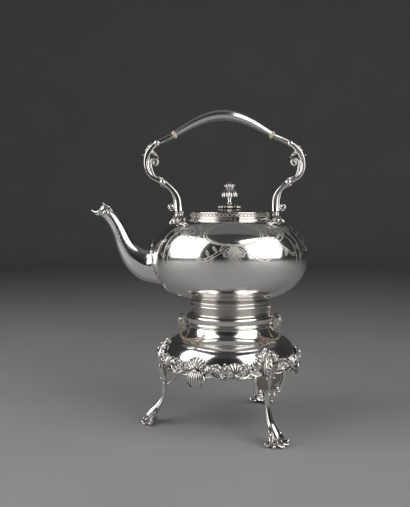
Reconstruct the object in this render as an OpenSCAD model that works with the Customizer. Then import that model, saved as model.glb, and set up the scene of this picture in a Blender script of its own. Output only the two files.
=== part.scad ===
// A silver spirit kettle on its lamp stand. The kettle tips on a pin at the spout side, its lid is
// hinged, and a small lamp sits in a ring below. Front is the spout's side, -X; near is -Y.

/* [Stand] */
// Height above the table of the rim that carries the kettle
stand_h = 131; // [118:1:160]
// Outer radius of the rim
rim_r = 54.5; // [50:0.5:66]
// Height of the rim ring
rim_h = 6; // [4:0.5:9]
// Radius of the apron, the skirt that carries the cast border
apron_r = 82; // [76:0.5:99]
// Height of the apron's lower edge above the table
apron_z = 80; // [66:1:96]
// Height of the upright part of the apron
apron_h = 9; // [6:0.5:12]
// Drop of the hollow neck below the rim
neck_h = 14.5; // [11:0.5:18]
// Thickness of the stand's sheet
stand_wall = 1.4; // [1:0.1:2]
// Width of a lobe of the cast border
lobe_w = 11; // [8:0.5:14]
// Relief of the castings over the apron
relief = 3.4; // [2:0.1:5]

/* [Legs] */
// Distance of a toe from the middle of the stand
toe_reach = 113; // [104:1:136]
// Width of a leg's shaft
leg_w = 8.6; // [6:0.2:12]
// Thickness of a leg's shaft
leg_t = 5; // [4:0.1:7]
// Width of the leaf foot
foot_w = 27; // [20:1:33]
// Height of the leaf foot's turned-up toe
toe_h = 14; // [10:0.5:18]
// Width of a knee casting where it meets the apron
knee_w = 42; // [32:1:50]

/* [Kettle] */
// Greatest radius of the kettle
body_r = 97.5; // [86:0.5:118]
// Height of the greatest width above the stand's rim
belly_h = 85; // [72:1:102]
// Rise of the shoulder above the greatest width
shoulder_h = 40; // [33:1:48]
// Radius of the foot collar under the kettle
collar_r = 48; // [40:0.5:52]
// Height of the foot collar above the stand's rim
collar_h = 30; // [25:0.5:36]
// Radius of the flange that rests on the stand's rim
flange_r = 54; // [50:0.5:65]
// Height of the flange
flange_h = 8.2; // [6:0.2:10]
// Thickness of the kettle's sheet
wall = 1.2; // [0.9:0.1:1.6]
// Radius of the kettle's mouth
mouth_r = 44; // [37:0.5:53]
// Height of the ring round the mouth
mouth_h = 3; // [2:0.2:5]

/* [Spout] */
// Reach of the pouring lip from the middle of the kettle
lip_reach = 173; // [160:1:195]
// Height of the lip above the greatest width of the kettle
lip_rise = 53.4; // [44:0.5:64]
// Half height of the spout where it leaves the body
spout_root = 25; // [20:0.5:30]
// Half width of the spout where it leaves the body
spout_side = 17; // [13:0.5:20]
// Outer radius of the spout at its end
spout_end = 6; // [5:0.1:8]
// Thickness of the spout's wall
spout_wall = 1.3; // [1:0.1:1.8]
// Radius of a strainer hole behind the spout
strainer_r = 1.7; // [1:0.1:2]

/* [Handle] */
// Height of the top of the grip above the kettle's greatest width
handle_top = 176.6; // [160:0.2:200]
// Distance of a handle socket from the middle of the handle
socket_u = 59; // [55:0.5:70]
// Height of a socket above the shoulder
socket_h = 12; // [9:0.5:16]
// Half length of the grip
grip_u = 58.5; // [52:0.5:66]
// Drop of the grip from its top to its ends
grip_drop = 22.3; // [18:0.1:28]
// Thickness of the grip in the middle
grip_t = 13.8; // [11:0.2:17]
// Thickness of the grip at its ends
grip_end_t = 8; // [6:0.2:10]
// Slope of the grip at its ends
grip_slope = 31; // [24:1:38]
// How far the handle stands towards the spout at its sockets
handle_shift = 3; // [0:0.5:5]
// How far the grip leans towards the spout beyond that
handle_lean = 5; // [0:0.5:8]
// Length of an insulator
insulator_l = 4.8; // [3:0.2:8]
// Radius of an insulator
insulator_r = 4.9; // [4:0.1:7]
// Radius of the tenon inside an insulator
tenon_r = 1.5; // [1:0.1:2]

/* [Lid] */
// Height of the lid's upright band
lid_band_h = 7; // [5:0.2:9]
// Rise of the lid's dome above its band
lid_rise = 4.6; // [3:0.2:9]
// Thickness of the lid's sheet
lid_wall = 1.1; // [0.8:0.1:1.5]
// Radius of the rosette under the finial
rosette_r = 15; // [11:0.5:19]
// Height of the whole finial above the dome
finial_h = 34; // [28:0.5:42]
// Radius of the finial's bud
bud_r = 10.5; // [8:0.2:13]
// Place of the lid's hinge along its pin line
lid_hinge_x = 4; // [0:0.5:6]
// Length of one hinge knuckle
knuckle_l = 3; // [2.4:0.1:4]
// Radius of the hinge knuckles
knuckle_r = 1.9; // [1.7:0.1:2.6]
// Radius of the lid's hinge pin
hinge_pin_r = 0.8; // [0.6:0.1:1]

/* [Tipping pins] */
// Distance of the tipping pins from the middle of the stand
pin_u = 60.5; // [58:0.5:72]
// Height of the tipping pins above the rim
pin_z = 3.5; // [2:0.5:6]
// Radius of a tipping pin
pin_r = 1.5; // [1.2:0.1:1.8]
// Thickness of a kettle lug
lug_t = 3.6; // [3:0.2:5]
// Thickness of a stand ear
ear_t = 2.6; // [2:0.2:3.4]
// Radius of a stand ear round its bore
ear_r = 4.6; // [3.8:0.2:5.2]
// Radius of the ring on a pin
ring_r = 3.2; // [2.6:0.1:4]
// Radius of a chain link, to the middle of its wire
link_r = 1.8; // [1.5:0.1:2.2]
// Radius of the chain's wire
link_wire = 0.4; // [0.35:0.05:0.5]

/* [Lamp] */
// Radius of the lamp's reservoir
lamp_r = 30; // [25:0.5:36]
// Height of the reservoir's base above the table
lamp_z = 66; // [60:0.5:72]
// Height of the reservoir
lamp_h = 22; // [18:0.5:28]
// Radius of the burner tube
burner_r = 8; // [6:0.5:10]
// Height of the burner tube above the reservoir
burner_h = 9; // [6:0.5:12]
// Radius of the wick
wick_r = 5; // [3.5:0.25:6.5]
// Height of the wick above the burner tube
wick_h = 2; // [1:0.25:3]

/* [Clearances] */
// Running clearance of a pin in its bore, on the radius
run = 0.06; // [0.02:0.01:0.1]
// Gap between soldered castings and the curved sheet behind them
seat = 0.15; // [0.1:0.05:0.3]
// Gap beside a moving part
side = 0.35; // [0.3:0.05:0.6]

/* [Hidden] */

silver = "lightsteelblue";
ivory = "wheat";
$fn = 96;

// The origin is on the table, in the middle of the object's outline seen from above
axis_x = (lip_reach - body_r) / 2;
// Directions of the three legs and of the pendants between them
leg_front_a = 180;
leg_near_a = -60;
leg_far_a = 60;
pendant_near_a = -120;
pendant_far_a = 120;
pendant_rear_a = 0;

// Curves
function bezier(p, t) = pow(1 - t, 3) * p[0] + 3 * t * pow(1 - t, 2) * p[1]
  + 3 * t * t * (1 - t) * p[2] + t * t * t * p[3];
function bezier_run(p, n) = [for (i = [0:n]) bezier(p, i / n)];
function tail(list) = [for (i = [1:len(list) - 1]) list[i]];
function reversed(list) = [for (i = [len(list) - 1:-1:0]) list[i]];
function arc(centre, ra, rb, from, to, n) =
  [for (i = [0:n]) let(a = from + (to - from) * i / n) centre + [ra * cos(a), rb * sin(a)]];
function spiral(centre, r0, r1, from, to, n) = [for (i = [0:n]) let(t = i / n, a = from + (to - from) * t)
  centre + r0 * pow(r1 / r0, t) * [cos(a), sin(a)]];
function direction(path, i) =
  let(a = path[max(i - 1, 0)], b = path[min(i + 1, len(path) - 1)]) (b - a) / norm(b - a);

// One section of a bar along a flat path in the XZ plane: thick in that plane, wide across it,
// with a hollow of the given depth down the middle of both flat sides
function bar_ring(path, i, thick, wide, sides, hollow = 0) =
  let(d = direction(path, i), n = [-d[1], d[0]])
  [for (k = [0:sides - 1]) let(a = 360 * k / sides, u = thick / 2 * cos(a),
      v = -wide / 2 * sin(a) * (1 - hollow * pow(sin(a), 6)))
    [path[i][0] + n[0] * u, v, path[i][1] + n[1] * u]];
function bar_rings(path, thick, wide, sides, hollow = 0) =
  let(n = len(path) - 1)
  [for (i = [0:n]) bar_ring(path, i, lookup(i / n, thick), lookup(i / n, wide), sides, hollow)];

// A closed solid skinned over rings that hold the same even number of points. The rings turn
// anticlockwise about the direction in which they follow each other. Each end is closed by a
// zigzag between its two halves, so a ring may lie on a curved sheet.
module skin(rings) {
  n = len(rings[0]);
  m = len(rings);
  last = (m - 1) * n;
  polyhedron(points = [for (r = rings) each r], faces = concat(
    [for (i = [0:n / 2 - 2]) [i, i + 1, n - 2 - i]],
    [for (i = [0:n / 2 - 2]) [i, n - 2 - i, n - 1 - i]],
    [for (j = [0:m - 2], i = [0:n - 1]) [j * n + i, (j + 1) * n + i, (j + 1) * n + (i + 1) % n]],
    [for (j = [0:m - 2], i = [0:n - 1]) [j * n + i, (j + 1) * n + (i + 1) % n, j * n + (i + 1) % n]],
    [for (i = [0:n / 2 - 2]) [last + n - 2 - i, last + i + 1, last + i]],
    [for (i = [0:n / 2 - 2]) [last + n - 1 - i, last + n - 2 - i, last + i]]));
}

// A tube wall: outer rings followed by the inner rings back to the start, closed on itself
module tube_skin(outer, inner) {
  rings = concat(outer, reversed(inner));
  n = len(rings[0]);
  m = len(rings);
  polyhedron(points = [for (r = rings) each r], faces = concat(
    [for (j = [0:m - 1], i = [0:n - 1]) let(k = (j + 1) % m)
      [j * n + i, k * n + i, k * n + (i + 1) % n]],
    [for (j = [0:m - 1], i = [0:n - 1]) let(k = (j + 1) % m)
      [j * n + i, k * n + (i + 1) % n, j * n + (i + 1) % n]]));
}

module at_axis() {
  translate([axis_x, 0, 0]) children();
}

// Stand: outline of the sheet

neck_z = stand_h - rim_h;
neck_r = rim_r - 1;
shoulder_z = apron_z + apron_h;
shoulder_rise = neck_z - neck_h - shoulder_z + 0.5;
shoulder_in = neck_r + neck_h * 0.6;
function apron_radius(z) = z <= shoulder_z ? apron_r
  : shoulder_in + (apron_r - shoulder_in) * sqrt(max(0, 1 - pow((z - shoulder_z) / shoulder_rise, 2)));
// Heights and radii of the outside of the stand, from the neck down, set in by a wall
function stand_line(inset) = concat(
  arc([neck_r + neck_h, neck_z], neck_h + inset, neck_h + inset, 180, 255, 8),
  arc([shoulder_in, shoulder_z], apron_r - shoulder_in - inset, shoulder_rise - inset, 72, 0, 10),
  [[apron_r - inset, apron_z]]);
function apron_normal(z) = z <= shoulder_z ? [1, 0]
  : let(n = [(apron_radius(z) - shoulder_in) / pow(apron_r - shoulder_in, 2),
      (z - shoulder_z) / pow(shoulder_rise, 2)]) n / norm(n);
// A point over the apron, at arc length s from direction a, level z, and h proud of the sheet
function on_apron(a, s, z, h) = let(n = apron_normal(z), r = apron_radius(z) + h * n[0],
    b = a + s / apron_r * 180 / PI) [r * cos(b), r * sin(b), z + h * n[1]];

module stand_shell() {
  color(silver) at_axis() rotate_extrude()
    polygon(concat(stand_line(0), reversed(stand_line(stand_wall))));
}

module stand_rim() {
  bead_r = 1.2;
  color(silver) at_axis() rotate_extrude() {
    difference() {
      translate([neck_r - 4, neck_z]) square([rim_r - neck_r + 4 - bead_r, rim_h]);
      translate([rim_r + 0.3, neck_z + 1]) circle(r = 2.2, $fn = 24);
    }
    translate([rim_r - bead_r, neck_z + rim_h - bead_r - 0.4]) circle(r = bead_r, $fn = 20);
  }
}

edge_h = 3.2;
module apron_edge() {
  color(silver) at_axis() rotate_extrude() {
    translate([apron_r - stand_wall, apron_z - edge_h]) square([stand_wall, edge_h]);
    translate([apron_r + 0.1, apron_z - edge_h]) circle(r = 1.3, $fn = 20);
  }
}

// Cast ornament on the apron

// A shell or leaf fan that lies on the apron: its ribs spread from a root at height z over a
// half angle, turned by a tilt from straight up, with a scalloped outer edge
function fan_ring(a, s0, z0, rho, spread, tilt, ribs, h_back, h_front, wave) = concat(
  [for (i = [0:2 * ribs]) let(f = tilt - spread + spread * i / ribs, up = i % 2 == 1,
      q = rho * (up ? 1 + wave : 1 - wave))
    on_apron(a, s0 + q * sin(f), z0 + q * cos(f), h_front * (up ? 1 : 0.62))],
  [for (i = [2 * ribs:-1:0]) let(f = tilt - spread + spread * i / ribs)
    on_apron(a, s0 + rho * sin(f), z0 + rho * cos(f), h_back)]);
module fan(a, s0, z0, length, spread, tilt, ribs, lift) {
  rows = [[0.16, 0.75, 0], [0.45, 1, 0.01], [0.8, 0.85, 0.03], [1, 0.45, 0.06]];
  skin([for (row = rows)
    fan_ring(a, s0, z0, length * row[0], spread, tilt, ribs, seat, lift * row[1], row[2])]);
}

// A leaf bar that lies along the border between two points on the apron, swelling in the middle
module leaf_bar(a, s0, z0, s1, z1, bow, thick, lift) {
  steps = 6;
  sides = 6;
  skin([for (j = [0:steps]) let(t = j / steps, w = thick * (0.3 + sin(180 * t) * 0.7),
      s = s0 + (s1 - s0) * t, z = z0 + (z1 - z0) * t + bow * sin(180 * t))
    [for (k = [0:sides - 1]) let(f = sign(s0 - s1) * 360 * k / sides)
      on_apron(a, s, z - w / 2 * cos(f), seat + lift * (0.5 + 0.5 * sin(f)) * (w / thick))]]);
}

// Half of the cast border between a leg and a pendant, to one side of direction a
module border_half(a, dir) {
  low = apron_z + 3.4;
  bud = 1.6;
  fan(a, dir * lobe_w * 3.7, low, lobe_w * 0.95, 52, 0, 5, relief);
  leaf_bar(a, dir * lobe_w * 4.3, low + 3, dir * lobe_w * 5.9, low - 1, -2.5, 3.2, relief * 0.8);
  leaf_bar(a, dir * lobe_w * 4.6, low + 8, dir * lobe_w * 5.6, low + 4, 2, 3, relief * 0.7);
  fan(a, dir * lobe_w * 6.45, low, lobe_w * 0.72, 30, 0, 3, relief * 0.8);
  for (k = [0:2])
    translate(on_apron(a, dir * lobe_w * (2.5 + 0.36 * k), low + 5 - 1.2 * k, bud + seat))
      sphere(r = bud, $fn = 20);
  for (lift = [5, 8.6]) translate(on_apron(a, dir * lobe_w * 5.98, low + lift, bud + seat))
    sphere(r = bud, $fn = 20);
}

module apron_border() {
  color(silver) at_axis() for (a = [leg_front_a, leg_near_a, leg_far_a], dir = [-1, 1])
    border_half(a, dir);
}

pendant_z = apron_z + 4;
module pendant(a) {
  color(silver) at_axis() {
    fan(a, 0, pendant_z + 1, lobe_w * 1.15, 62, 0, 5, relief * 1.1);
    hanging_shell(a);
  }
}
// The shell that hangs below the apron's edge: a ribbed dish, hollow behind
module hanging_shell(a) {
  ribs = 7;
  drop = 21;
  half = 11;
  back = 1.4;
  // Each row: share of the drop, share of the half width, relief, and the most that its back stands out
  rows = [[0.12, 0.42, 2.4, seat], [0.34, 0.72, 4.2, 1.7], [0.62, 1, 4.8, 2.2], [0.86, 0.98, 3.4, 1.8],
    [1, 0.72, 1.6, 1]];
  skin([for (row = rows) concat(
    [for (i = [0:2 * ribs]) let(u = i / ribs - 1, up = i % 2 == 1,
        z = pendant_z - drop * row[0] * (1 - 0.18 * u * u), h = row[2] * sqrt(max(0.05, 1 - 0.75 * u * u)))
      on_apron(a, -half * row[1] * u, z, 1.9 + h + (up ? 0.5 : -0.3))],
    [for (i = [2 * ribs:-1:0]) let(u = i / ribs - 1,
        z = pendant_z - drop * row[0] * (1 - 0.18 * u * u), h = row[2] * sqrt(max(0.05, 1 - 0.75 * u * u)))
      on_apron(a, -half * row[1] * u * 0.97, z, min(row[3], 1.9 + h - back))])]);
}
module pendant_near() pendant(pendant_near_a);
module pendant_far() pendant(pendant_far_a);
module pendant_rear() pendant(pendant_rear_a);

// Knees: a broad leaf boss over each leg with ribbed wings
module knee(a) {
  boss_z = apron_z + 4;
  color(silver) at_axis() {
    knee_boss(a);
    for (dir = [-1, 1]) {
      fan(a, dir * knee_w * 0.27, boss_z, knee_w * 0.33, 40, dir * 42, 5, relief * 1.2);
      translate(on_apron(a, dir * 4.6, apron_z + 23, 1.9 + seat)) sphere(r = 1.9, $fn = 24);
    }
    translate(on_apron(a, 0, apron_z + 25.4, 2.3 + seat)) sphere(r = 2.3, $fn = 24);
  }
}
// The boss swells out from the apron and narrows to the top of the leg
module knee_boss(a) {
  sides = 12;
  half = knee_w * 0.19;
  levels = [[-0.5, 0.95], [5, 1], [12, 0.95], [18, 0.7], [22, 0.25]];
  lifts = [[-0.5, 8], [5, 8.6], [12, 7], [18, 4], [22, 1.2]];
  rows = [for (z = [22, 20, 18, 16, 14, 11.5, 9, 5, -0.5]) [z, lookup(z, levels), lookup(z, lifts)]];
  skin([for (row = rows) concat(
    [for (i = [0:sides]) let(u = 1 - 2 * i / sides, rib = 0.8 * abs(sin(180 * 2.5 * u)))
      on_apron(a, half * row[1] * u, apron_z + row[0], seat + (row[2] - rib) * sqrt(max(0.04, 1 - u * u)))],
    [for (i = [sides:-1:0]) let(u = 1 - 2 * i / sides)
      on_apron(a, half * row[1] * u, apron_z + row[0], seat)])]);
}
module knee_front() knee(leg_front_a);
module knee_near() knee(leg_near_a);
module knee_far() knee(leg_far_a);

// Legs

knee_end_z = apron_z - 0.7;
leg_top_r = apron_r + 5.6;
leg_path = concat(
  bezier_run([[leg_top_r, knee_end_z], [apron_r + 4.8, apron_z - 8], [apron_r - 1, apron_z - 18],
    [apron_r - 0.4, apron_z * 0.58]], 7),
  tail(bezier_run([[apron_r - 0.4, apron_z * 0.58], [apron_r + 0.8, apron_z * 0.32],
    [toe_reach - 24, apron_z * 0.22], [toe_reach - 10, 6]], 9)),
  [[toe_reach - 6.5, 5.4], [toe_reach - 3, toe_h * 0.45], [toe_reach - 0.8, toe_h * 0.68]]);
leg_thick = [[0, leg_t + 1.4], [0.2, leg_t], [0.5, leg_t], [0.7, leg_t * 1.3], [0.88, 8.4],
  [0.96, 8], [1, 3]];
leg_wide = [[0, knee_w * 0.86], [0.11, knee_w * 0.8], [0.2, knee_w * 0.5], [0.28, leg_w], [0.62, leg_w],
  [0.74, leg_w * 1.25], [0.86, foot_w * 0.7], [0.94, foot_w], [1, foot_w * 0.86]];
pad_r = 6;
pad_h = 3;
pad_u = toe_reach - 8;
module leg(a) {
  rings = bar_rings(leg_path, leg_thick, leg_wide, 14, 0);
  color(silver) at_axis() rotate([0, 0, a]) {
    skin([for (r = rings) [for (p = r) [p[0], p[1], min(knee_end_z, max(pad_h * 0.2, p[2]))]]]);
    translate([pad_u, 0, 0]) cylinder(r = pad_r, h = pad_h);
    for (dir = [-1, 1]) knee_strap(dir);
  }
}
// A strap beside the shield at a leg's top, which curls inwards to a volute. It is drawn flat, as
// distances across the leg and heights, and bent to the leg's own line.
leg_radii = [for (i = [0:7]) [-leg_path[i][1], leg_path[i][0]]];
module knee_strap(dir) {
  strap_t = 4.2;
  volute_r = 4;
  volute = [knee_w * 0.28, knee_end_z - 19];
  path = concat(bezier_run([[knee_w * 0.42, knee_end_z], [knee_w * 0.45, knee_end_z - 6],
      volute + [volute_r, 9], volute + [volute_r, 0]], 7),
    tail(spiral(volute, volute_r, volute_r * 0.42, 0, -300, 10)));
  rings = bar_rings(path, [[0, strap_t], [0.5, strap_t * 0.9], [1, strap_t * 0.5]],
    [[0, leg_t], [0.5, leg_t + 1], [1, leg_t + 1.6]], 8);
  // A mirrored strap has its sections turned the other way round
  skin([for (r = rings) [for (q = dir > 0 ? reversed(r) : r) let(z = min(knee_end_z, q[2]))
    [lookup(-z, leg_radii) + 0.8 + q[1], dir * q[0], z]]]);
}
module leg_front() leg(leg_front_a);
module leg_near() leg(leg_near_a);
module leg_far() leg(leg_far_a);

// Ring and struts for the lamp

ring_z = lamp_z + lamp_h * 0.62;
ring_h = 4;
ring_t = 2;
lamp_gap = 0.6;
burner_ring_r = lamp_r + lamp_gap + ring_t;
module burner_ring() {
  color(silver) at_axis() translate([0, 0, ring_z - ring_h]) difference() {
    cylinder(r = burner_ring_r, h = ring_h);
    translate([0, 0, -1]) cylinder(r = lamp_r + lamp_gap, h = ring_h + 2);
  }
}
strut_t = 2.6;
strut_foot_r = apron_r - leg_t / 2 - 1.2;
module burner_struts() {
  path = bezier_run([[strut_foot_r, 50], [strut_foot_r - 12, 58], [burner_ring_r + 22, ring_z - 8],
    [burner_ring_r + 0.4, ring_z - ring_h / 2]], 8);
  color(silver) at_axis() for (a = [leg_front_a, leg_near_a, leg_far_a]) rotate([0, 0, a])
    skin(bar_rings(path, [[0, strut_t], [1, strut_t]], [[0, 4.4], [0.3, 3], [1, 3.4]], 8));
}

// Tipping hinge: ears on the stand, lugs on the kettle, pins, rings and chains

tip_z = stand_h + pin_z;
ear_in = lug_t / 2 + side;
ear_out = ear_in + ear_t;
// One pair of ears at x = pin_u: a ring round the bore, on a short bracket from the neck of the stand
bracket = [[-3.2, 2.8], [-5, -3.2], [-9, -6], [-9, -18], [-5.2, -18.5], [-2.4, -14], [1.8, -8.5], [3.6, -2.6]];
module ear_pair() {
  difference() {
    for (dir = [0, 1]) mirror([0, dir, 0]) translate([0, ear_out, 0]) rotate([90, 0, 0])
      linear_extrude(ear_t) translate([pin_u, tip_z]) {
        circle(r = ear_r);
        polygon(bracket);
      }
    translate([pin_u, ear_out + 1, tip_z]) rotate([90, 0, 0])
      cylinder(r = pin_r + run, h = 2 * ear_out + 2);
    rotate_extrude() polygon(concat([[0, neck_z]], stand_line(-seat), [[0, apron_z]]));
    translate([0, 0, neck_z - 2]) cylinder(r = rim_r + 0.5, h = rim_h + 2);
  }
}
module front_ears() {
  color(silver) at_axis() rotate([0, 0, 180]) ear_pair();
}
module rear_ears() {
  color(silver) at_axis() ear_pair();
}
// The kettle's lug at x = pin_u, cut to the round of the flange
module lug() {
  difference() {
    translate([0, lug_t / 2, 0]) rotate([90, 0, 0]) linear_extrude(lug_t)
      polygon(concat([[flange_r - 3, stand_h + flange_h - 0.6], [flange_r - 3, stand_h + 1.2]],
        arc([pin_u, tip_z], ear_r - 0.6, ear_r - 0.6, -100, 100, 24)));
    translate([pin_u, lug_t, tip_z]) rotate([90, 0, 0]) cylinder(r = pin_r + run, h = 2 * lug_t);
    translate([0, 0, stand_h - 1]) cylinder(r = flange_r + 0.05, h = flange_h + 2);
  }
}
module front_lug() {
  color(silver) at_axis() rotate([0, 0, 180]) lug();
}
module rear_lug() {
  color(silver) at_axis() {
    lug();
    lug_knob();
  }
}
// A ball on a thin stem that stands on the flange, beside the rear lug
module lug_knob() {
  stem_r = 1.1;
  ball_r = 2.3;
  translate([collar_r + 2, 0, stand_h + flange_h + 0.05]) rotate_extrude()
    polygon(concat([[0, 0], [stem_r, 0], [stem_r, 5]], arc([0, 8.3], ball_r, ball_r, -58, 90, 10)));
}
// A tipping pin along Y, with its ball head on the near side and an eye for the ring
head_r = 2.5;
pin_l = 2 * ear_out + 1.2;
pin_tip = pin_l - ear_out - 0.3;
pin_back = pin_tip + ear_in + 0.05;
eye_r = 1.15;
eye_y = -ear_out - 0.6 - head_r * 1.4;
ring_wire = 0.5;
ring_centre_z = tip_z - ring_r + 0.35;
module tipping_pin(x, shift) {
  eye_z = pin_l + 0.3 + head_r * 1.4;
  translate([x, shift + pin_tip, tip_z]) rotate([90, 0, 0]) difference() {
    rotate_extrude() polygon(concat([[0, 0], [pin_r - 0.4, 0], [pin_r, 0.6], [pin_r, pin_l],
      [head_r, pin_l], [head_r, pin_l + 1], [1.2, pin_l + 1.3]],
      arc([0, eye_z], head_r * 0.9, head_r * 0.9, -58, 90, 8)));
    translate([-head_r - 1, 0, eye_z]) rotate([0, 90, 0]) cylinder(r = eye_r, h = 2 * head_r + 2);
  }
}
// The ring hangs in the eye
module pin_ring(x, shift) {
  translate([x, shift + eye_y, ring_centre_z]) rotate([90, 0, 0])
    rotate_extrude() translate([ring_r, 0]) circle(r = ring_wire, $fn = 20);
}
module front_pin() {
  color(silver) at_axis() tipping_pin(-pin_u, 0);
}
module front_pin_ring() {
  color(silver) at_axis() pin_ring(-pin_u, 0);
}
module rear_pin() {
  color(silver) at_axis() tipping_pin(pin_u, -pin_back);
}
module rear_pin_ring() {
  color(silver) at_axis() pin_ring(pin_u, -pin_back);
}

// Chains: each runs over the shoulder from a staple on the neck to its pin's ring
staple_a = 36;
staple_z = neck_z - 4;
staple_r = 1.9;
staple_out = 1.6;
function stand_radius(z) = z > neck_z - neck_h + 0.5
  ? neck_r + neck_h - sqrt(max(0, pow(neck_h, 2) - pow(neck_z - z, 2))) : apron_radius(z);
staple_u = stand_radius(staple_z) + staple_out;
module staple(a) {
  difference() {
    rotate([0, 0, a]) translate([staple_u, 0, staple_z]) rotate([90, 0, 0])
      rotate_extrude() translate([staple_r, 0]) circle(r = 0.55, $fn = 20);
    rotate_extrude() polygon(concat([[0, neck_z + 1], [neck_r + 0.1, neck_z + 1]],
      stand_line(-0.1), [[0, apron_z]]));
  }
}
module front_staple() {
  color(silver) at_axis() staple(-90 - staple_a);
}
module rear_staple() {
  color(silver) at_axis() staple(-90 + staple_a);
}
// The drape of a chain from its staple over the shoulder and up to the ring
function polar(a, r, z) = [r * cos(a), r * sin(a), z];
function chain_curve(side_x, shift) = let(a = -90 + side_x * staple_a, first = staple_r + link_r - 1.15,
    q = first * cos(45), end = [side_x * pin_u, shift + eye_y, ring_centre_z - ring_r - 0.75])
  [polar(a, staple_u + q, staple_z - q), polar(a, staple_u + q + 5.7, staple_z - q - 5.7),
    polar(-90 + side_x * 58, apron_r - 6, shoulder_z + 23), end - [0, 0, 16], end];
function quartic(p, t) = let(u = 1 - t) pow(u, 4) * p[0] + 4 * pow(u, 3) * t * p[1]
  + 6 * u * u * t * t * p[2] + 4 * u * pow(t, 3) * p[3] + pow(t, 4) * p[4];
// Lengths along the curve with their parameter, so that the links are spaced evenly
function lengths(p, n, i = 1, sum = 0) = i > n ? []
  : let(next = sum + norm(quartic(p, i / n) - quartic(p, (i - 1) / n)))
    concat([[next, i / n]], lengths(p, n, i + 1, next));
module link(at, way, outward) {
  w = outward - (outward * way) * way;
  n = w / norm(w);
  translate(at) rotate([0, acos(n[2]), atan2(n[1], n[0])])
    rotate_extrude($fn = 32) translate([link_r, 0]) circle(r = link_wire, $fn = 16);
}
module chain(side_x, shift) {
  p = chain_curve(side_x, shift);
  run_l = concat([[0, 0]], lengths(p, 60));
  total = run_l[60][0];
  n = 2 * ceil(total / (2 * link_r - 1) / 2);
  for (i = [0:n]) {
    t = lookup(total * i / n, run_l);
    at = quartic(p, t);
    step = quartic(p, t + 0.005) - quartic(p, t - 0.005);
    way = step / norm(step);
    out = [at[0], at[1], 0] / norm([at[0], at[1]]) + [0, 0, 0.4 * (1 - t)];
    link(at, way, i % 2 == 0 ? out : cross(way, out));
  }
}
module front_chain() {
  color(silver) at_axis() chain(-1, 0);
}
module rear_chain() {
  color(silver) at_axis() chain(1, -pin_back);
}

// Kettle body

belly_z = stand_h + belly_h;
foot_top_z = stand_h + collar_h;
belly_drop = belly_h - collar_h + 2;
fullness = 2.2;
throat_r = mouth_r + 10;
heel_r = collar_r - 18;
function swell(q) = pow(max(0, 1 - pow(max(0, q), fullness)), 1 / fullness);
function body_radius(z) = z >= belly_z ? throat_r + (body_r - throat_r) * swell((z - belly_z) / shoulder_h)
  : heel_r + (body_r - heel_r) * swell((belly_z - z) / belly_drop);
// Outline from the mouth round the shoulder and belly to the foot, set in by a wall
function body_line(inset) = concat(
  [for (i = [0:9]) let(a = 88 - 88 * i / 9)
    [throat_r + (body_r - throat_r - inset) * pow(cos(a), 2 / fullness),
      belly_z + (shoulder_h - inset) * pow(sin(a), 2 / fullness)]],
  [for (i = [1:9]) let(a = 72 * i / 9)
    [heel_r + (body_r - heel_r - inset) * pow(cos(a), 2 / fullness),
      belly_z - (belly_drop - inset) * pow(sin(a), 2 / fullness)]]);
shoulder_top = belly_z + shoulder_h;
module kettle_body() {
  floor_z = foot_top_z - 1;
  color(silver) at_axis() difference() {
    rotate_extrude() polygon(concat([[mouth_r, shoulder_top], [throat_r, shoulder_top]], body_line(0),
      [[collar_r, foot_top_z], [collar_r - 1, floor_z - 2], [0, floor_z - 2], [0, floor_z]],
      reversed([for (p = body_line(wall)) if (p[1] > floor_z + 0.5) p]),
      [[throat_r, shoulder_top - wall], [mouth_r, shoulder_top - wall]]));
    for (row = [-2:2], k = [-2:2]) if (abs(row) + abs(k) < 4)
      translate([-body_r * 0.8, k * 4.6, spout_root_z + row * 6.4]) rotate([0, -90, 0])
        cylinder(r = strainer_r, h = body_r * 0.4, $fn = 24);
  }
}

// Foot collar: a moulded ring under the body, and the flange that rests on the stand
module kettle_foot() {
  in_r = collar_r - 3.4;
  color(silver) at_axis() rotate_extrude() {
    translate([in_r, stand_h + flange_h - 0.5]) square([collar_r - in_r - 1, collar_h - flange_h - 2.7]);
    for (h = [flange_h + 2, collar_h - 9.5, collar_h - 5])
      translate([collar_r - 1, stand_h + h]) circle(r = 1.7, $fn = 24);
    difference() {
      translate([in_r, stand_h]) square([flange_r - in_r, flange_h]);
      translate([flange_r + 1, stand_h + flange_h]) circle(r = 3, $fn = 24);
    }
  }
}

module mouth_ring() {
  color(silver) at_axis() difference() {
    rotate_extrude()
      polygon([[mouth_r, shoulder_top], [lid_r + 3.2, shoulder_top], [lid_r + 2.6, shoulder_top + 1.6],
        [lid_r + 0.6, shoulder_top + mouth_h], [mouth_r, shoulder_top + mouth_h]]);
    translate([lid_hinge_x - knuckle_l * 0.5 - 0.1, hinge_y, hinge_z]) rotate([0, 90, 0])
      cylinder(r = knuckle_r + 0.25, h = knuckle_l + 0.2, $fn = 32);
  }
}

// Spout

spout_root_z = belly_z - 15.5;
lip_z = belly_z + lip_rise;
spout_tip = [-lip_reach + 15, lip_z - 0.9];
spout_path = concat(
  bezier_run([[-body_r + 4, spout_root_z - 0.5], [-body_r - 15.5, spout_root_z - 1.5],
    [-body_r - 28.5, spout_root_z + 13.5], [-body_r - 37, spout_root_z + 36.4]], 9),
  tail(bezier_run([[-body_r - 37, spout_root_z + 36.4], [-body_r - 40.7, spout_root_z + 46.5],
    [spout_tip[0] + 12, spout_tip[1] - 6], spout_tip], 7)));
spout_thick = [[0, 2 * spout_root], [0.12, 39], [0.25, 31.5], [0.4, 24.5], [0.56, 20], [0.72, 17],
  [0.88, 14.6], [1, 2 * spout_end]];
spout_wide = [[0, 2 * spout_side], [0.12, 29], [0.25, 24.5], [0.4, 20], [0.56, 17.4], [0.72, 15.4],
  [0.88, 13.4], [1, 2 * spout_end * 0.95]];
spout_sides = 16;
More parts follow.
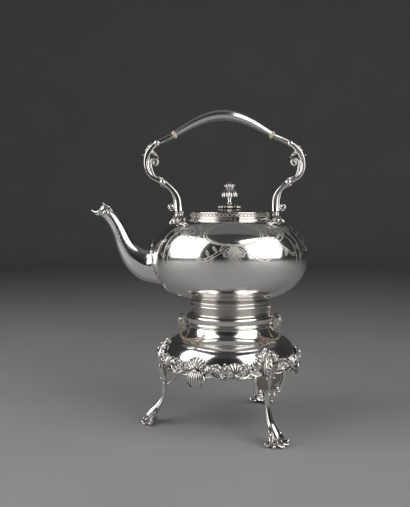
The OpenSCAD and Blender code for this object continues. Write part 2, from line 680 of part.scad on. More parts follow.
// Flutes: every other point of a section is drawn in a little
function flute(ring, centre, depth) = [for (k = [0:len(ring) - 1])
  centre + (ring[k] - centre) * (k % 2 == 0 ? 1 : 1 - depth)];
function spout_rings(inset) = let(n = len(spout_path) - 1, lean = spout_wall * inset)
  concat(
    [[for (k = [0:spout_sides - 1]) let(f = 360 * k / spout_sides,
        y = -(spout_side - lean) * sin(f), z = spout_root_z - (spout_root - lean) * cos(f))
      [-sqrt(pow(body_radius(z) + seat + 0.15, 2) - y * y), y, z]]],
    [for (i = [2:n]) let(c = [spout_path[i][0], 0, spout_path[i][1]])
      flute(bar_ring(spout_path, i, lookup(i / n, spout_thick) - 2 * lean,
        lookup(i / n, spout_wide) - 2 * lean, spout_sides), c, 0.035)]);
module spout() {
  color(silver) at_axis() tube_skin(spout_rings(0), spout_rings(1));
}

// The cast lip at the end of the spout: a short sleeve that runs out into a pointed pouring lip
module spout_lip() {
  d = direction(spout_path, len(spout_path) - 1);
  n = [-d[1], d[0]];
  r = spout_end + 0.7;
  lip = norm([-lip_reach, lip_z] - spout_tip);
  function sleeve(radius, run_out, grow) = [for (k = [0:spout_sides - 1]) let(f = 360 * k / spout_sides,
      below = pow(max(0, cos(f)), 2), u = radius * cos(f), v = -radius * sin(f) * (1 - grow * below),
      w = run_out[0] + (run_out[1] - run_out[0]) * below)
    [spout_tip[0] + d[0] * w + n[0] * u * (1 - grow * below), v,
      spout_tip[1] + d[1] * w + n[1] * u * (1 - grow * below)]];
  color(silver) at_axis() tube_skin(
    [sleeve(r, [0.1, 0.1], 0), sleeve(r + 0.5, [1.5, 3], 0), sleeve(r, [3, 7], 0.15),
      sleeve(r - 0.6, [3.4, lip - 1], 0.62)],
    [sleeve(r - 2, [0.1, 0.1], 0), sleeve(r - 1.6, [1.5, 3], 0), sleeve(r - 1.8, [2.9, 7], 0.15),
      sleeve(r - 1.5, [3.2, lip - 2], 0.72)]);
}

// A point on the kettle's body, at azimuth a and height z, h proud of the sheet
function on_body(y, z, h) = let(slope = [1, body_radius(z - 0.5) - body_radius(z + 0.5)],
    n = slope / norm(slope), r = body_radius(z) + h * n[0])
  [-sqrt(max(0, r * r - y * y)), y, z + h * n[1]];
// Leaves round the root of the spout, lying on the body
module body_leaf(f, length, half, lift) {
  steps = max(7, ceil(length / 2));
  sides = 6;
  c = cos(f);
  s = sin(f);
  skin([for (j = [0:steps]) let(t = j / steps,
      w = half * (0.35 + 0.65 * sin(30 + 150 * t)) * (1 - 0.6 * t * t),
      y0 = (spout_side + 0.6 + length * t) * s, z0 = spout_root_z + (spout_root + 0.6 + length * t) * c)
    [for (k = [0:sides - 1]) let(g = 360 * k / sides, q = w * cos(g))
      on_body(y0 + q * c, z0 - q * s, seat + 0.1 + lift * (0.5 + 0.5 * sin(g)))]]);
}
module spout_leaves() {
  color(silver) at_axis() for (f = [0, 40, 80, 120, 240, 280, 320]) body_leaf(f, 11, 5.5, 1.8);
}
module spout_drop() {
  color(silver) at_axis() body_leaf(180, 8.5, 6.5, 3.2);
}

// Handle

function handle_x(side_x, u, z) = side_x * u - handle_shift
  - handle_lean * (z - socket_z) / (grip_end_z - socket_z);
socket_z = shoulder_top - 0.6 + socket_h;
grip_z = belly_z + handle_top - grip_t / 2;
grip_end_z = grip_z - grip_drop;
module socket(side_x) {
  lobes = 9;
  rows = [[0, 1], [0.35, 0.9], [0.7, 0.55], [1, 0.42]];
  x0 = handle_x(side_x, socket_u, socket_z);
  color(silver) at_axis() skin([for (row = rows) [for (k = [0:2 * lobes - 1])
    let(f = 360 * k / (2 * lobes), up = k % 2 == 0 ? 1 : 0.84 + 0.1 * row[0],
      q = [x0 + side_x * 2.5 * (1 - row[0]) + 11.5 * row[1] * up * cos(f), 9 * row[1] * up * sin(f)],
      p = q * max(1, (lid_r + 3.6) / norm(q)), floor_z = shoulder_height(norm(p)) + seat + 0.15)
    [p[0], p[1], row[0] == 0 ? floor_z : floor_z + (socket_z - floor_z) * row[0]]]]);
}
// Height of the shoulder's outside at a radius
function shoulder_height(r) = r <= throat_r ? shoulder_top
  : belly_z + shoulder_h * swell((r - throat_r) / (body_r - throat_r));
module front_socket() socket(-1);
module rear_socket() socket(1);

// One arm: a lower S scroll that ends in a volute, and an upper C scroll to the insulator
function to_handle(side_x, path) = [for (p = path) [handle_x(side_x, p[0], p[1]), p[1]]];
arm_bead = [78, socket_z + 34];
grip_end = [grip_u + cos(grip_slope) * insulator_l, grip_end_z - sin(grip_slope) * insulator_l];
lower_path = concat(
  bezier_run([[socket_u, socket_z], [socket_u, socket_z + 17], [arm_bead[0] - 11, arm_bead[1] - 6], arm_bead], 8),
  tail(bezier_run([arm_bead, [arm_bead[0] + 9, arm_bead[1] + 4], [96, socket_z + 43], [95.5, socket_z + 58]], 6)),
  tail(spiral([87.5, socket_z + 58.5], 7.6, 2.6, -2, 285, 11)));
lower_thick = [[0, 9.4], [0.12, 8.4], [0.3, 6.4], [0.36, 8.4], [0.45, 8], [0.6, 6], [1, 2.2]];
lower_wide = [[0, 8], [0.3, 6.6], [0.6, 7], [1, 4.5]];
// The thinner strand beside the lower scroll, down to its own curl on the socket
base_curl = [socket_u + 9, socket_z + 5.4];
strand_path = concat(
  bezier_run([arm_bead - [2, 4.5], arm_bead - [11, 9], base_curl + [-4.6, 12], base_curl + [-4, 0.6]], 8),
  tail(spiral(base_curl, 4.02, 1.5, 172, 500, 11)));
strand_thick = [[0, 1.6], [0.2, 3], [0.6, 3.2], [1, 1.8]];
strand_wide = [[0, 4], [0.5, 6.4], [1, 7.4]];
// The upper scroll, with a knot half way to the insulator
grip_way = [cos(grip_slope), -sin(grip_slope)];
upper_path = bezier_run([[98.6, socket_z + 57], [97.5, socket_z + 74], grip_end + grip_way * 16,
  grip_end + grip_way * 0.3], 16);
upper_thick = [[0, 2], [0.12, 6], [0.3, 7.4], [0.5, 6.8], [0.56, 9.4], [0.62, 6.8], [1, 7.4]];
upper_wide = [[0, 2], [0.12, 5], [0.3, 7], [0.5, 6.8], [0.56, 9], [0.62, 6.8], [1, 7]];
// Leaves where the two scrolls meet: one curls in over the volute, one stands out as a spike
arm_leaves = [
  [[97, socket_z + 66], [95, socket_z + 74], [90, socket_z + 74], [86, socket_z + 67.5]],
  [[95, socket_z + 56], [98, socket_z + 60], [100, socket_z + 63], [101.6, socket_z + 68.5]]];
module arm(side_x) {
  color(silver) at_axis() {
    skin([for (r = bar_rings(to_handle(side_x, lower_path), lower_thick, lower_wide, 10, 0.2))
      [for (p = r) [p[0], p[1], max(socket_z + 0.1, p[2])]]]);
    skin([for (r = bar_rings(to_handle(side_x, strand_path), strand_thick, strand_wide, 8))
      [for (p = r) [p[0], p[1], max(socket_z + 0.1, p[2])]]]);
    skin(bar_rings(to_handle(side_x, upper_path), upper_thick, upper_wide, 10, 0.15));
    for (leaf = arm_leaves)
      skin(bar_rings(to_handle(side_x, bezier_run(leaf, 5)), [[0, 2.4], [0.4, 4.4], [1, 0.8]],
        [[0, 3], [0.4, 6], [1, 1]], 8));
  }
}
module front_arm() arm(-1);
module rear_arm() arm(1);

// Grip, with an insulator and its tenon at both ends
module grip_frame(side_x) {
  translate([handle_x(side_x, grip_u, grip_end_z), 0, grip_end_z])
    rotate([0, side_x > 0 ? 90 + grip_slope : -90 - grip_slope, 0]) children();
}
module insulator(side_x) {
  color(ivory) at_axis() grip_frame(side_x) difference() {
    rotate_extrude() union() {
      translate([0, 0.1]) square([insulator_r - 0.8, insulator_l - 0.2]);
      translate([insulator_r - 0.9, 1]) circle(r = 0.9, $fn = 20);
      translate([insulator_r - 0.9, insulator_l - 1]) circle(r = 0.9, $fn = 20);
      translate([insulator_r - 1, 1]) square([0.8, insulator_l - 2]);
    }
    translate([0, 0, -1]) cylinder(r = tenon_r + run, h = insulator_l + 2);
  }
}
module front_insulator() insulator(-1);
module rear_insulator() insulator(1);
module insulator_tenons() {
  color(silver) at_axis() for (side_x = [-1, 1]) grip_frame(side_x)
    translate([0, 0, 0.1]) cylinder(r = tenon_r, h = insulator_l - 0.2);
}
module handle_grip() {
  slope = [cos(grip_slope), -sin(grip_slope)];
  half = bezier_run([[0, grip_z], [grip_u * 0.38, grip_z],
    [grip_u - slope[0] * 22, grip_end_z - slope[1] * 22], [grip_u, grip_end_z]], 7);
  x0 = handle_x(1, 0, grip_end_z);
  path = concat([for (p = reversed(half)) [x0 - p[0], p[1]]], tail([for (p = half) [x0 + p[0], p[1]]]));
  thick = [[0, grip_end_t], [0.25, grip_t * 0.82], [0.5, grip_t], [0.75, grip_t * 0.82], [1, grip_end_t]];
  color(silver) at_axis() skin(bar_rings(path, thick, thick, 12));
}

// Lid

lid_r = mouth_r + 5.5;
lid_z = shoulder_top + mouth_h + 0.1;
dome_z = lid_z + lid_band_h;
dome_n = 6;
function dome_line(inset) = [for (i = [0:dome_n]) let(t = i / dome_n)
  [(lid_r - 1.5) * (1 - t), dome_z - inset + lid_rise * sin(90 * pow(t, 0.8))]];
module lid() {
  color(silver) at_axis() difference() {
    rotate_extrude() polygon(concat([[lid_r - lid_wall * 1.6, lid_z], [lid_r, lid_z], [lid_r, lid_z + 1.4],
      [lid_r - 0.7, lid_z + 2], [lid_r - 0.7, dome_z - 1.4], [lid_r, dome_z - 0.8], [lid_r, dome_z]],
      dome_line(0), reversed(dome_line(lid_wall)), [[lid_r - lid_wall * 1.6, dome_z - lid_wall - 1]]));
    translate([0, 0, lid_z]) cylinder(r = finial_bolt_r + run, h = lid_band_h + lid_rise + 2);
    hinge_notch();
  }
}
module lid_bezel() {
  color(silver) at_axis() translate([0, 0, lid_z - mouth_h - 1]) difference() {
    union() {
      cylinder(r = mouth_r - side, h = mouth_h + 1);
      translate([0, 0, mouth_h + 1]) cylinder(r = lid_r - lid_wall * 1.6 - 0.05, h = 1);
    }
    translate([0, 0, -1]) cylinder(r = mouth_r - side - 1, h = mouth_h + 4);
  }
}

// Lid hinge: leaf and outer knuckles on the kettle, middle knuckle on the lid, pin along X
hinge_y = -lid_r - knuckle_r - 0.5;
hinge_z = lid_z + 0.6;
module hinge_notch() {
  translate([lid_hinge_x - knuckle_l * 1.7, hinge_y - 5, hinge_z - 3])
    cube([knuckle_l * 3.4, 5 + knuckle_r + 0.4, 6]);
}
module knuckle(x, from, to) {
  translate([x + from, hinge_y, hinge_z]) rotate([0, 90, 0]) cylinder(r = knuckle_r, h = to - from, $fn = 32);
}
module hinge_bore() {
  translate([lid_hinge_x - 3 * knuckle_l, hinge_y, hinge_z]) rotate([0, 90, 0])
    cylinder(r = hinge_pin_r + run, h = 6 * knuckle_l, $fn = 32);
}
module lid_hinge_leaf() {
  gap = 0.15;
  color(silver) at_axis() difference() {
    union() {
      knuckle(lid_hinge_x, -knuckle_l * 1.5, -knuckle_l * 0.5 - gap);
      knuckle(lid_hinge_x, knuckle_l * 0.5 + gap, knuckle_l * 1.5);
      for (dir = [0, 1]) translate([lid_hinge_x, 0, 0]) mirror([dir, 0, 0])
        translate([knuckle_l * 0.5 + gap, hinge_y - knuckle_r, shoulder_top + 0.1])
          cube([knuckle_l - gap, knuckle_r * 1.4, hinge_z - shoulder_top - 0.1]);
    }
    hinge_bore();
    rotate_extrude() polygon([[0, shoulder_top - 3], [lid_r + 3.3, shoulder_top - 3],
      [lid_r + 3.3, shoulder_top + 0.05], [lid_r + 2.7, shoulder_top + 1.65],
      [lid_r + 0.7, shoulder_top + mouth_h + 0.05], [0, shoulder_top + mouth_h + 0.05]]);
    translate([0, 0, shoulder_top - 5]) cylinder(r = body_r, h = 5.05);
  }
}
module lid_knuckle() {
  gap = 0.15;
  color(silver) at_axis() difference() {
    union() {
      knuckle(lid_hinge_x, -knuckle_l * 0.5 + gap, knuckle_l * 0.5 - gap);
      translate([lid_hinge_x - knuckle_l * 0.5 + gap, hinge_y, hinge_z + 0.2])
        cube([knuckle_l - 2 * gap, knuckle_r + 1.5, knuckle_r - 0.2]);
    }
    hinge_bore();
    translate([0, 0, lid_z - 1]) cylinder(r = lid_r + 0.05, h = lid_band_h + 2);
  }
}
module lid_hinge_pin() {
  color(silver) at_axis() translate([lid_hinge_x - knuckle_l * 1.5 - 0.4, hinge_y, hinge_z]) rotate([0, 90, 0])
    cylinder(r = hinge_pin_r, h = knuckle_l * 3 + 0.8, $fn = 32);
}

// Finial: a flower bud on a stem, over a rosette, held by a bolt and a nut inside the lid
finial_bolt_r = 2;
finial_z = dome_z + lid_rise;
rosette_h = 6;
stem_top = finial_z + rosette_h + 8;
module finial_rosette() {
  petals = 8;
  color(silver) at_axis() difference() {
    union() {
      rotate_extrude() polygon([[0, finial_z + 0.1], [rosette_r * 0.5, finial_z + 0.1],
        [rosette_r * 0.55, finial_z + 2.2], [rosette_r * 0.4, finial_z + 4.4],
        [4.4, rosette_h + finial_z], [0, rosette_h + finial_z]]);
      for (k = [0:petals - 1]) rotate([0, 0, 360 * k / petals]) translate([rosette_r - 4.6, 0, finial_z + 1.6])
        rotate([0, 12, 0]) cylinder(r1 = 4.6, r2 = 2.6, h = 2.2, $fn = 24);
    }
    translate([0, 0, finial_z - 1]) cylinder(r = finial_bolt_r + run, h = rosette_h + 3);
  }
}
module finial_stem() {
  color(silver) at_axis() {
    translate([0, 0, dome_z - 4.5]) cylinder(r = finial_bolt_r, h = stem_top - dome_z + 4.5);
    translate([0, 0, finial_z + rosette_h]) rotate_extrude()
      polygon(concat([[0, 0], [4.2, 0], [4.2, 0.8]], arc([5, 3.6], 2.2, 2.8, 240, 150, 5), [[3.1, 8], [0, 8]]));
  }
}
module finial_bud() {
  bud_h = finial_z + finial_h - stem_top;
  lobes = 9;
  rows = [[0, 0.9], [0.1, 1], [0.26, 0.96], [0.42, 0.66], [0.52, 0.46], [0.64, 0.44], [0.8, 0.36],
    [0.93, 0.18], [1, 0.04]];
  color(silver) at_axis() skin([for (row = rows) [for (k = [0:2 * lobes - 1])
    let(f = 360 * k / (2 * lobes) + 50 * row[0], q = bud_r * row[1] * (k % 2 == 0 ? 1 : 0.88))
    [q * cos(f), q * sin(f), stem_top + bud_h * row[0]]]]);
}
module finial_nut() {
  color(silver) at_axis() translate([0, 0, dome_z - 3.6]) difference() {
    cylinder(r = 5, h = 2.2, $fn = 6);
    translate([0, 0, -1]) cylinder(r = finial_bolt_r + run, h = 5);
  }
}

// Lamp

module lamp_reservoir() {
  top = lamp_z + lamp_h;
  color(silver) at_axis() difference() {
    rotate_extrude() polygon(concat([[0, lamp_z], [lamp_r * 0.62, lamp_z]],
      arc([lamp_r * 0.62, lamp_z + lamp_h * 0.42], lamp_r * 0.38, lamp_h * 0.42, -80, 0, 6),
      [[lamp_r, lamp_z + lamp_h * 0.6]],
      arc([burner_r + 4, lamp_z + lamp_h * 0.62], lamp_r - burner_r - 4.6, lamp_h * 0.38, 8, 90, 7),
      [[0, top]]));
    translate([0, 0, lamp_z + 2]) cylinder(r = lamp_r * 0.6, h = lamp_h * 0.62);
    translate([0, 0, lamp_z + 2]) cylinder(r = burner_r + run, h = lamp_h);
  }
}
// The collar on the reservoir that rests on the ring
module lamp_collar() {
  color(silver) at_axis() translate([0, 0, ring_z]) difference() {
    cylinder(r = burner_ring_r + 0.8, h = 1.6);
    translate([0, 0, -1]) cylinder(r = lamp_r + 0.05, h = 4);
  }
}
module burner_tube() {
  top = lamp_z + lamp_h;
  color(silver) at_axis() difference() {
    union() {
      translate([0, 0, top - 8]) cylinder(r = burner_r, h = burner_h + 8);
      translate([0, 0, top + 0.05]) cylinder(r = burner_r + 3, h = 1.6);
    }
    translate([0, 0, top - 9]) cylinder(r = wick_r + 0.3, h = burner_h + 10);
  }
}
module wick() {
  color(ivory) at_axis() translate([0, 0, lamp_z + 4])
    cylinder(r = wick_r, h = lamp_h - 4 + burner_h + wick_h);
}
// The snuffer is a hinged cap, stored open beside the burner and turned over on to it
snuffer_u = burner_r + 5.4;
cap_deep = 5;
snuffer_z = lamp_z + lamp_h + burner_h + wick_h - cap_deep + 1.6;
module snuffer() {
  color(silver) at_axis() translate([snuffer_u, 0, snuffer_z]) difference() {
    union() {
      translate([burner_r + 5.4, 0, -cap_deep]) cylinder(r = burner_r + 1.6, h = cap_deep + 1);
      translate([0, 1.4, 0]) rotate([90, 0, 0]) cylinder(r = 1.7, h = 2.8, $fn = 32);
      translate([0.4, -1.4, -0.9]) cube([5, 2.8, 1.8]);
    }
    translate([burner_r + 5.4, 0, 1 - cap_deep]) cylinder(r = burner_r + 0.6, h = cap_deep + 3);
    translate([0, 3, 0]) rotate([90, 0, 0]) cylinder(r = 0.8 + run, h = 6, $fn = 32);
  }
}
module snuffer_pin() {
  foot_z = lamp_z + lamp_h + 1.7;
  color(silver) at_axis() {
    translate([snuffer_u, 3.2, snuffer_z]) rotate([90, 0, 0]) cylinder(r = 0.8, h = 6.4, $fn = 32);
    for (dir = [0, 1]) mirror([0, dir, 0]) translate([snuffer_u, 1.7, 0]) difference() {
      union() {
        translate([-1.8, 0, snuffer_z - 5]) cube([3.6, 1.4, 5]);
        translate([0, 1.4, snuffer_z]) rotate([90, 0, 0]) cylinder(r = 1.8, h = 1.4, $fn = 32);
        translate([burner_r + 0.1 - snuffer_u, 0, foot_z])
          cube([snuffer_u - burner_r + 1.7, 1.4, snuffer_z - foot_z - 3]);
      }
      translate([0, 3, snuffer_z]) rotate([90, 0, 0]) cylinder(r = 0.8 + run, h = 6, $fn = 32);
      translate([-snuffer_u, -1.7, 0]) cylinder(r = burner_r + 0.05, h = 200);
    }
  }
}

stand_shell();
stand_rim();
apron_edge();
apron_border();
pendant_near();
pendant_far();
pendant_rear();
knee_front();
knee_near();
knee_far();
leg_front();
leg_near();
leg_far();
burner_ring();
burner_struts();
front_ears();
rear_ears();
front_staple();
rear_staple();
front_chain();
rear_chain();
front_pin();
front_pin_ring();
rear_pin();
rear_pin_ring();
kettle_body();
kettle_foot();
mouth_ring();
spout();
spout_lip();
spout_leaves();
spout_drop();
front_lug();
rear_lug();
front_socket();
rear_socket();
front_arm();
rear_arm();
front_insulator();
rear_insulator();
insulator_tenons();
handle_grip();
lid_hinge_leaf();
lid_hinge_pin();
lid();
lid_bezel();
lid_knuckle();
finial_rosette();
finial_stem();
finial_bud();
finial_nut();
lamp_reservoir();
lamp_collar();
burner_tube();
wick();
snuffer();
snuffer_pin();
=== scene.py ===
# %% [markdown]
# # A silver spirit kettle on its lamp stand
# The kettle, its lid, the two pins, the lamp and the snuffer move, so each visible piece is built
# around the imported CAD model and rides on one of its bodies. Silver shows every facet as a broken
# reflection. So the turned, swept and cast pieces are made again here as smooth, fine surfaces
# on the same sizes, and small hardware keeps its CAD shape with a better material.

# %% Load the frame
import math
import bpy
import bmesh
import numpy as np
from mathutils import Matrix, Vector


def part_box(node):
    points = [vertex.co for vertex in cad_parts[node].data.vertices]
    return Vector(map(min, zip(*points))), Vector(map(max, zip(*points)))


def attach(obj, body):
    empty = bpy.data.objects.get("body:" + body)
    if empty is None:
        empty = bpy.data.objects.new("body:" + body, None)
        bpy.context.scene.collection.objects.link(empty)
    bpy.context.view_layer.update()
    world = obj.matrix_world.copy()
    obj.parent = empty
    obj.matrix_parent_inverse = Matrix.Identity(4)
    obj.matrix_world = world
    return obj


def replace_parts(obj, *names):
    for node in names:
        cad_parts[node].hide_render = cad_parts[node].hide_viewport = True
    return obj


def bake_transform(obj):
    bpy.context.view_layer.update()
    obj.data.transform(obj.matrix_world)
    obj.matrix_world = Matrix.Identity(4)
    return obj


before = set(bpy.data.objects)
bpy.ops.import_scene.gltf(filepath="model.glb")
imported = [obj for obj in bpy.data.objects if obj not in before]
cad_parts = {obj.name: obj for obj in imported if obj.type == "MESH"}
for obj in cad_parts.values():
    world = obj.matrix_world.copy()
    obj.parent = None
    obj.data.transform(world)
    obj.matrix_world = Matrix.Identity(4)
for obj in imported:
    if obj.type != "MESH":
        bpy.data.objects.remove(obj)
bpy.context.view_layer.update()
MM = 0.001
body_low, body_high = (np.array(c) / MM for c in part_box("kettle_body"))
AXIS = (body_low[0] + body_high[0]) / 2
print("kettle axis at x =", round(AXIS, 2),
      "mm, body radius", round((body_high[0] - body_low[0]) / 2, 2))

# %% [markdown]
# ## Camera
# A distant camera a little above the shoulder of the kettle keeps the ellipses of the collar and
# the stand shallow, as in the photograph. Its place was worked out from the heights at which
# circles on the object look flat. Distances here are in millimetres from the kettle's axis.

# %% Camera
CAMERA_DISTANCE = 829.0
CAMERA_HEIGHT = 263.0
CAMERA_TURN = math.radians(-3.0)
LOOK_DOWN = math.radians(3.32)
LOOK_LEFT = math.radians(2.12)
LENS = 47.1

camera = bpy.data.objects.new("camera", bpy.data.cameras.new("camera"))
bpy.context.scene.collection.objects.link(camera)
bpy.context.scene.camera = camera
camera.data.lens = LENS
camera.data.sensor_width = 36.0
camera.location = (
    (AXIS + CAMERA_DISTANCE * math.sin(CAMERA_TURN)) * MM,
    -CAMERA_DISTANCE * math.cos(CAMERA_TURN) * MM,
    CAMERA_HEIGHT * MM,
)
camera.rotation_euler = (math.pi / 2 - LOOK_DOWN, 0, CAMERA_TURN + LOOK_LEFT)
print("camera at", [round(v, 3) for v in camera.location])

# %% [markdown]
# ## Surfaces from arrays
# Every new piece is one or more closed skins. A skin is a grid of points, row after row, whose
# columns run once round a section. Rows may also close on themselves, as in a ring. Open ends are
# drawn together to a point, so that each skin is a closed solid with its faces pointing outwards.

# %% Grid helpers
WELD, SLIVER = 2e-6, 1e-7


def around(n):
    """n even angles round a full circle."""
    return np.linspace(0, 2 * np.pi, n, endpoint=False)


def arrays(*values):
    """The values as float arrays of one shape."""
    return np.broadcast_arrays(*(np.asarray(v, float) for v in values))


def about_axis(r, a, z):
    """Points at radius r, angle a in radians and height z about the kettle's axis."""
    r, a, z = arrays(r, a, z)
    return np.stack([AXIS + r * np.cos(a), r * np.sin(a), z], -1)


def grid_faces(count, rows, cols, loop):
    """Quads of count grids that lie one after the other, with columns that wrap round."""
    k = np.arange(count)[:, None, None] * rows * cols
    i = np.arange(rows if loop else rows - 1)[None, :, None]
    j = np.arange(cols)[None, None, :]
    i2, j2 = (i + 1) % rows, (j + 1) % cols
    corners = (k + i * cols + j, k + i * cols + j2, k + i2 * cols + j2, k + i2 * cols + j)
    return np.stack(np.broadcast_arrays(*corners), -1).reshape(-1, 4)


def skins(name, parts, body, material, loop=False, sharp=50.0):
    """One object from several batches of grids, each (points, recess) with points shaped
    (count, rows, columns, 3) in millimetres, and recess 0 on high places and 1 in hollows."""
    points, hollows, faces, start = [], [], [], 0
    for grid, recess in parts:
        grid = np.asarray(grid, float)
        grid = grid if grid.ndim == 4 else grid[None]
        recess = np.broadcast_to(np.asarray(recess, float), grid.shape[:3])
        if not loop:
            first = np.broadcast_to(grid[:, :1].mean(2, keepdims=True), grid[:, :1].shape)
            last = np.broadcast_to(grid[:, -1:].mean(2, keepdims=True), grid[:, -1:].shape)
            grid = np.concatenate([first, grid, last], 1)
            recess = np.concatenate([recess[:, :1], recess, recess[:, -1:]], 1)
        count, rows, cols = grid.shape[:3]
        faces.append(grid_faces(count, rows, cols, loop) + start)
        points.append(grid.reshape(-1, 3))
        hollows.append(recess.reshape(-1))
        start += count * rows * cols
    mesh = bpy.data.meshes.new(name)
    mesh.from_pydata((np.concatenate(points) * MM).tolist(), [], np.concatenate(faces).tolist())
    attribute = mesh.attributes.new("recess", "FLOAT", "POINT")
    attribute.data.foreach_set("value", np.concatenate(hollows).astype(np.float32))
    work = bmesh.new()
    work.from_mesh(mesh)
    bmesh.ops.remove_doubles(work, verts=work.verts, dist=WELD)
    bmesh.ops.dissolve_degenerate(work, edges=work.edges, dist=SLIVER)
    bmesh.ops.recalc_face_normals(work, faces=work.faces)
    work.to_mesh(mesh)
    work.free()
    mesh.shade_smooth()
    mesh.set_sharp_from_angle(angle=math.radians(sharp))
    piece = bpy.data.objects.new(name, mesh)
    bpy.context.scene.collection.objects.link(piece)
    mesh.materials.append(material)
    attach(piece, body)
    print(name, len(mesh.polygons), "faces")
    return piece


# %% Curves in a plane
def bezier(points, n):
    """A cubic curve through its two end points, at n + 1 even steps."""
    t = np.linspace(0, 1, n + 1)[:, None]
    a, b, c, d = (np.asarray(p, float) for p in points)
    return (1 - t) ** 3 * a + 3 * t * (1 - t) ** 2 * b + 3 * t * t * (1 - t) * c + t ** 3 * d


def chain_curves(*curves):
    """Curves joined end to end, with each shared point kept once."""
    return np.concatenate([curves[0]] + [c[1:] for c in curves[1:]])


def arc(centre, radius, start, end, n):
    """n + 1 points on a circle's arc, in degrees."""
    a = np.radians(np.linspace(start, end, n + 1))
    return np.stack([centre[0] + radius * np.cos(a), centre[1] + radius * np.sin(a)], -1)


def spiral(centre, r0, r1, start, end, n):
    """A spiral whose radius shrinks at a steady rate from r0 to r1."""
    t = np.linspace(0, 1, n + 1)
    a = np.radians(start + (end - start) * t)
    r = r0 * (r1 / r0) ** t
    return np.stack([centre[0] + r * np.cos(a), centre[1] + r * np.sin(a)], -1)


def even(path, n):
    """The same curve at n + 1 evenly spaced points."""
    path = np.asarray(path, float)
    run = np.concatenate([[0], np.cumsum(np.linalg.norm(np.diff(path, axis=0), axis=1))])
    s = np.linspace(0, run[-1], n + 1)
    return np.stack([np.interp(s, run, path[:, k]) for k in range(path.shape[1])], -1)


def smooth(path, times=2):
    """Evens out kinks by averaging each point with its neighbours, with the ends kept."""
    path = path.copy()
    for _ in range(times):
        path[1:-1] = 0.25 * path[:-2] + 0.5 * path[1:-1] + 0.25 * path[2:]
    return path


def normals(path):
    """Unit normals of a path in a plane, to its left."""
    along = np.gradient(path, axis=0)
    along /= np.linalg.norm(along, axis=1, keepdims=True)
    return np.stack([-along[:, 1], along[:, 0]], -1)


# %% Turned pieces
def soften(profile, radius, n=4):
    """Rounds the corners of a closed outline: each corner becomes a short curve between points
    set back from it by radius, or by less where an edge is short."""
    p = np.asarray(profile, float)
    before, after = np.roll(p, 1, 0) - p, np.roll(p, -1, 0) - p
    lb, la = np.linalg.norm(before, axis=1), np.linalg.norm(after, axis=1)
    cut = np.minimum(radius, 0.45 * np.minimum(lb, la))[:, None]
    a, b = p + before / lb[:, None] * cut, p + after / la[:, None] * cut
    t = np.linspace(0, 1, n + 1)[None, :, None]
    curve = (1 - t) ** 2 * a[:, None] + 2 * t * (1 - t) * p[:, None] + t * t * b[:, None]
    return curve.reshape(-1, 2)


def turned(profile, segments=180):
    """A closed outline of (radius, height) points turned about the kettle's axis."""
    return about_axis(profile[None, :, 0], around(segments)[:, None], profile[None, :, 1])[None]

# %% [markdown]
# ## Silver, ivory and cotton
# Old silver plate is a near perfect mirror on its high, often wiped places. It is yellow to
# brown and duller in hollows where polish and tarnish collect. One node group makes both: it reads
# each piece's recess attribute, adds slow clouds of tarnish and fine wiping scratches, and
# every silver finish uses it with its own amounts.

# %% Shader helpers
def new_nodes(tree, *kinds):
    """Adds nodes of the given kinds to a tree and returns them."""
    return [tree.nodes.new("ShaderNode" + kind) for kind in kinds]


def put(node, values):
    """Sets inputs of a node, from a dictionary of sockets and values."""
    for socket, value in values.items():
        node.inputs[socket].default_value = value


def wire(tree, *links):
    """Joins sockets, each link given as (node, output, node, input)."""
    for source, output, target, entry in links:
        tree.links.new(source.outputs[output], target.inputs[entry])


def new_material(name):
    """A node material, its tree and its shader."""
    material = bpy.data.materials.new(name)
    material.use_nodes = True
    return material, material.node_tree, material.node_tree.nodes["Principled BSDF"]


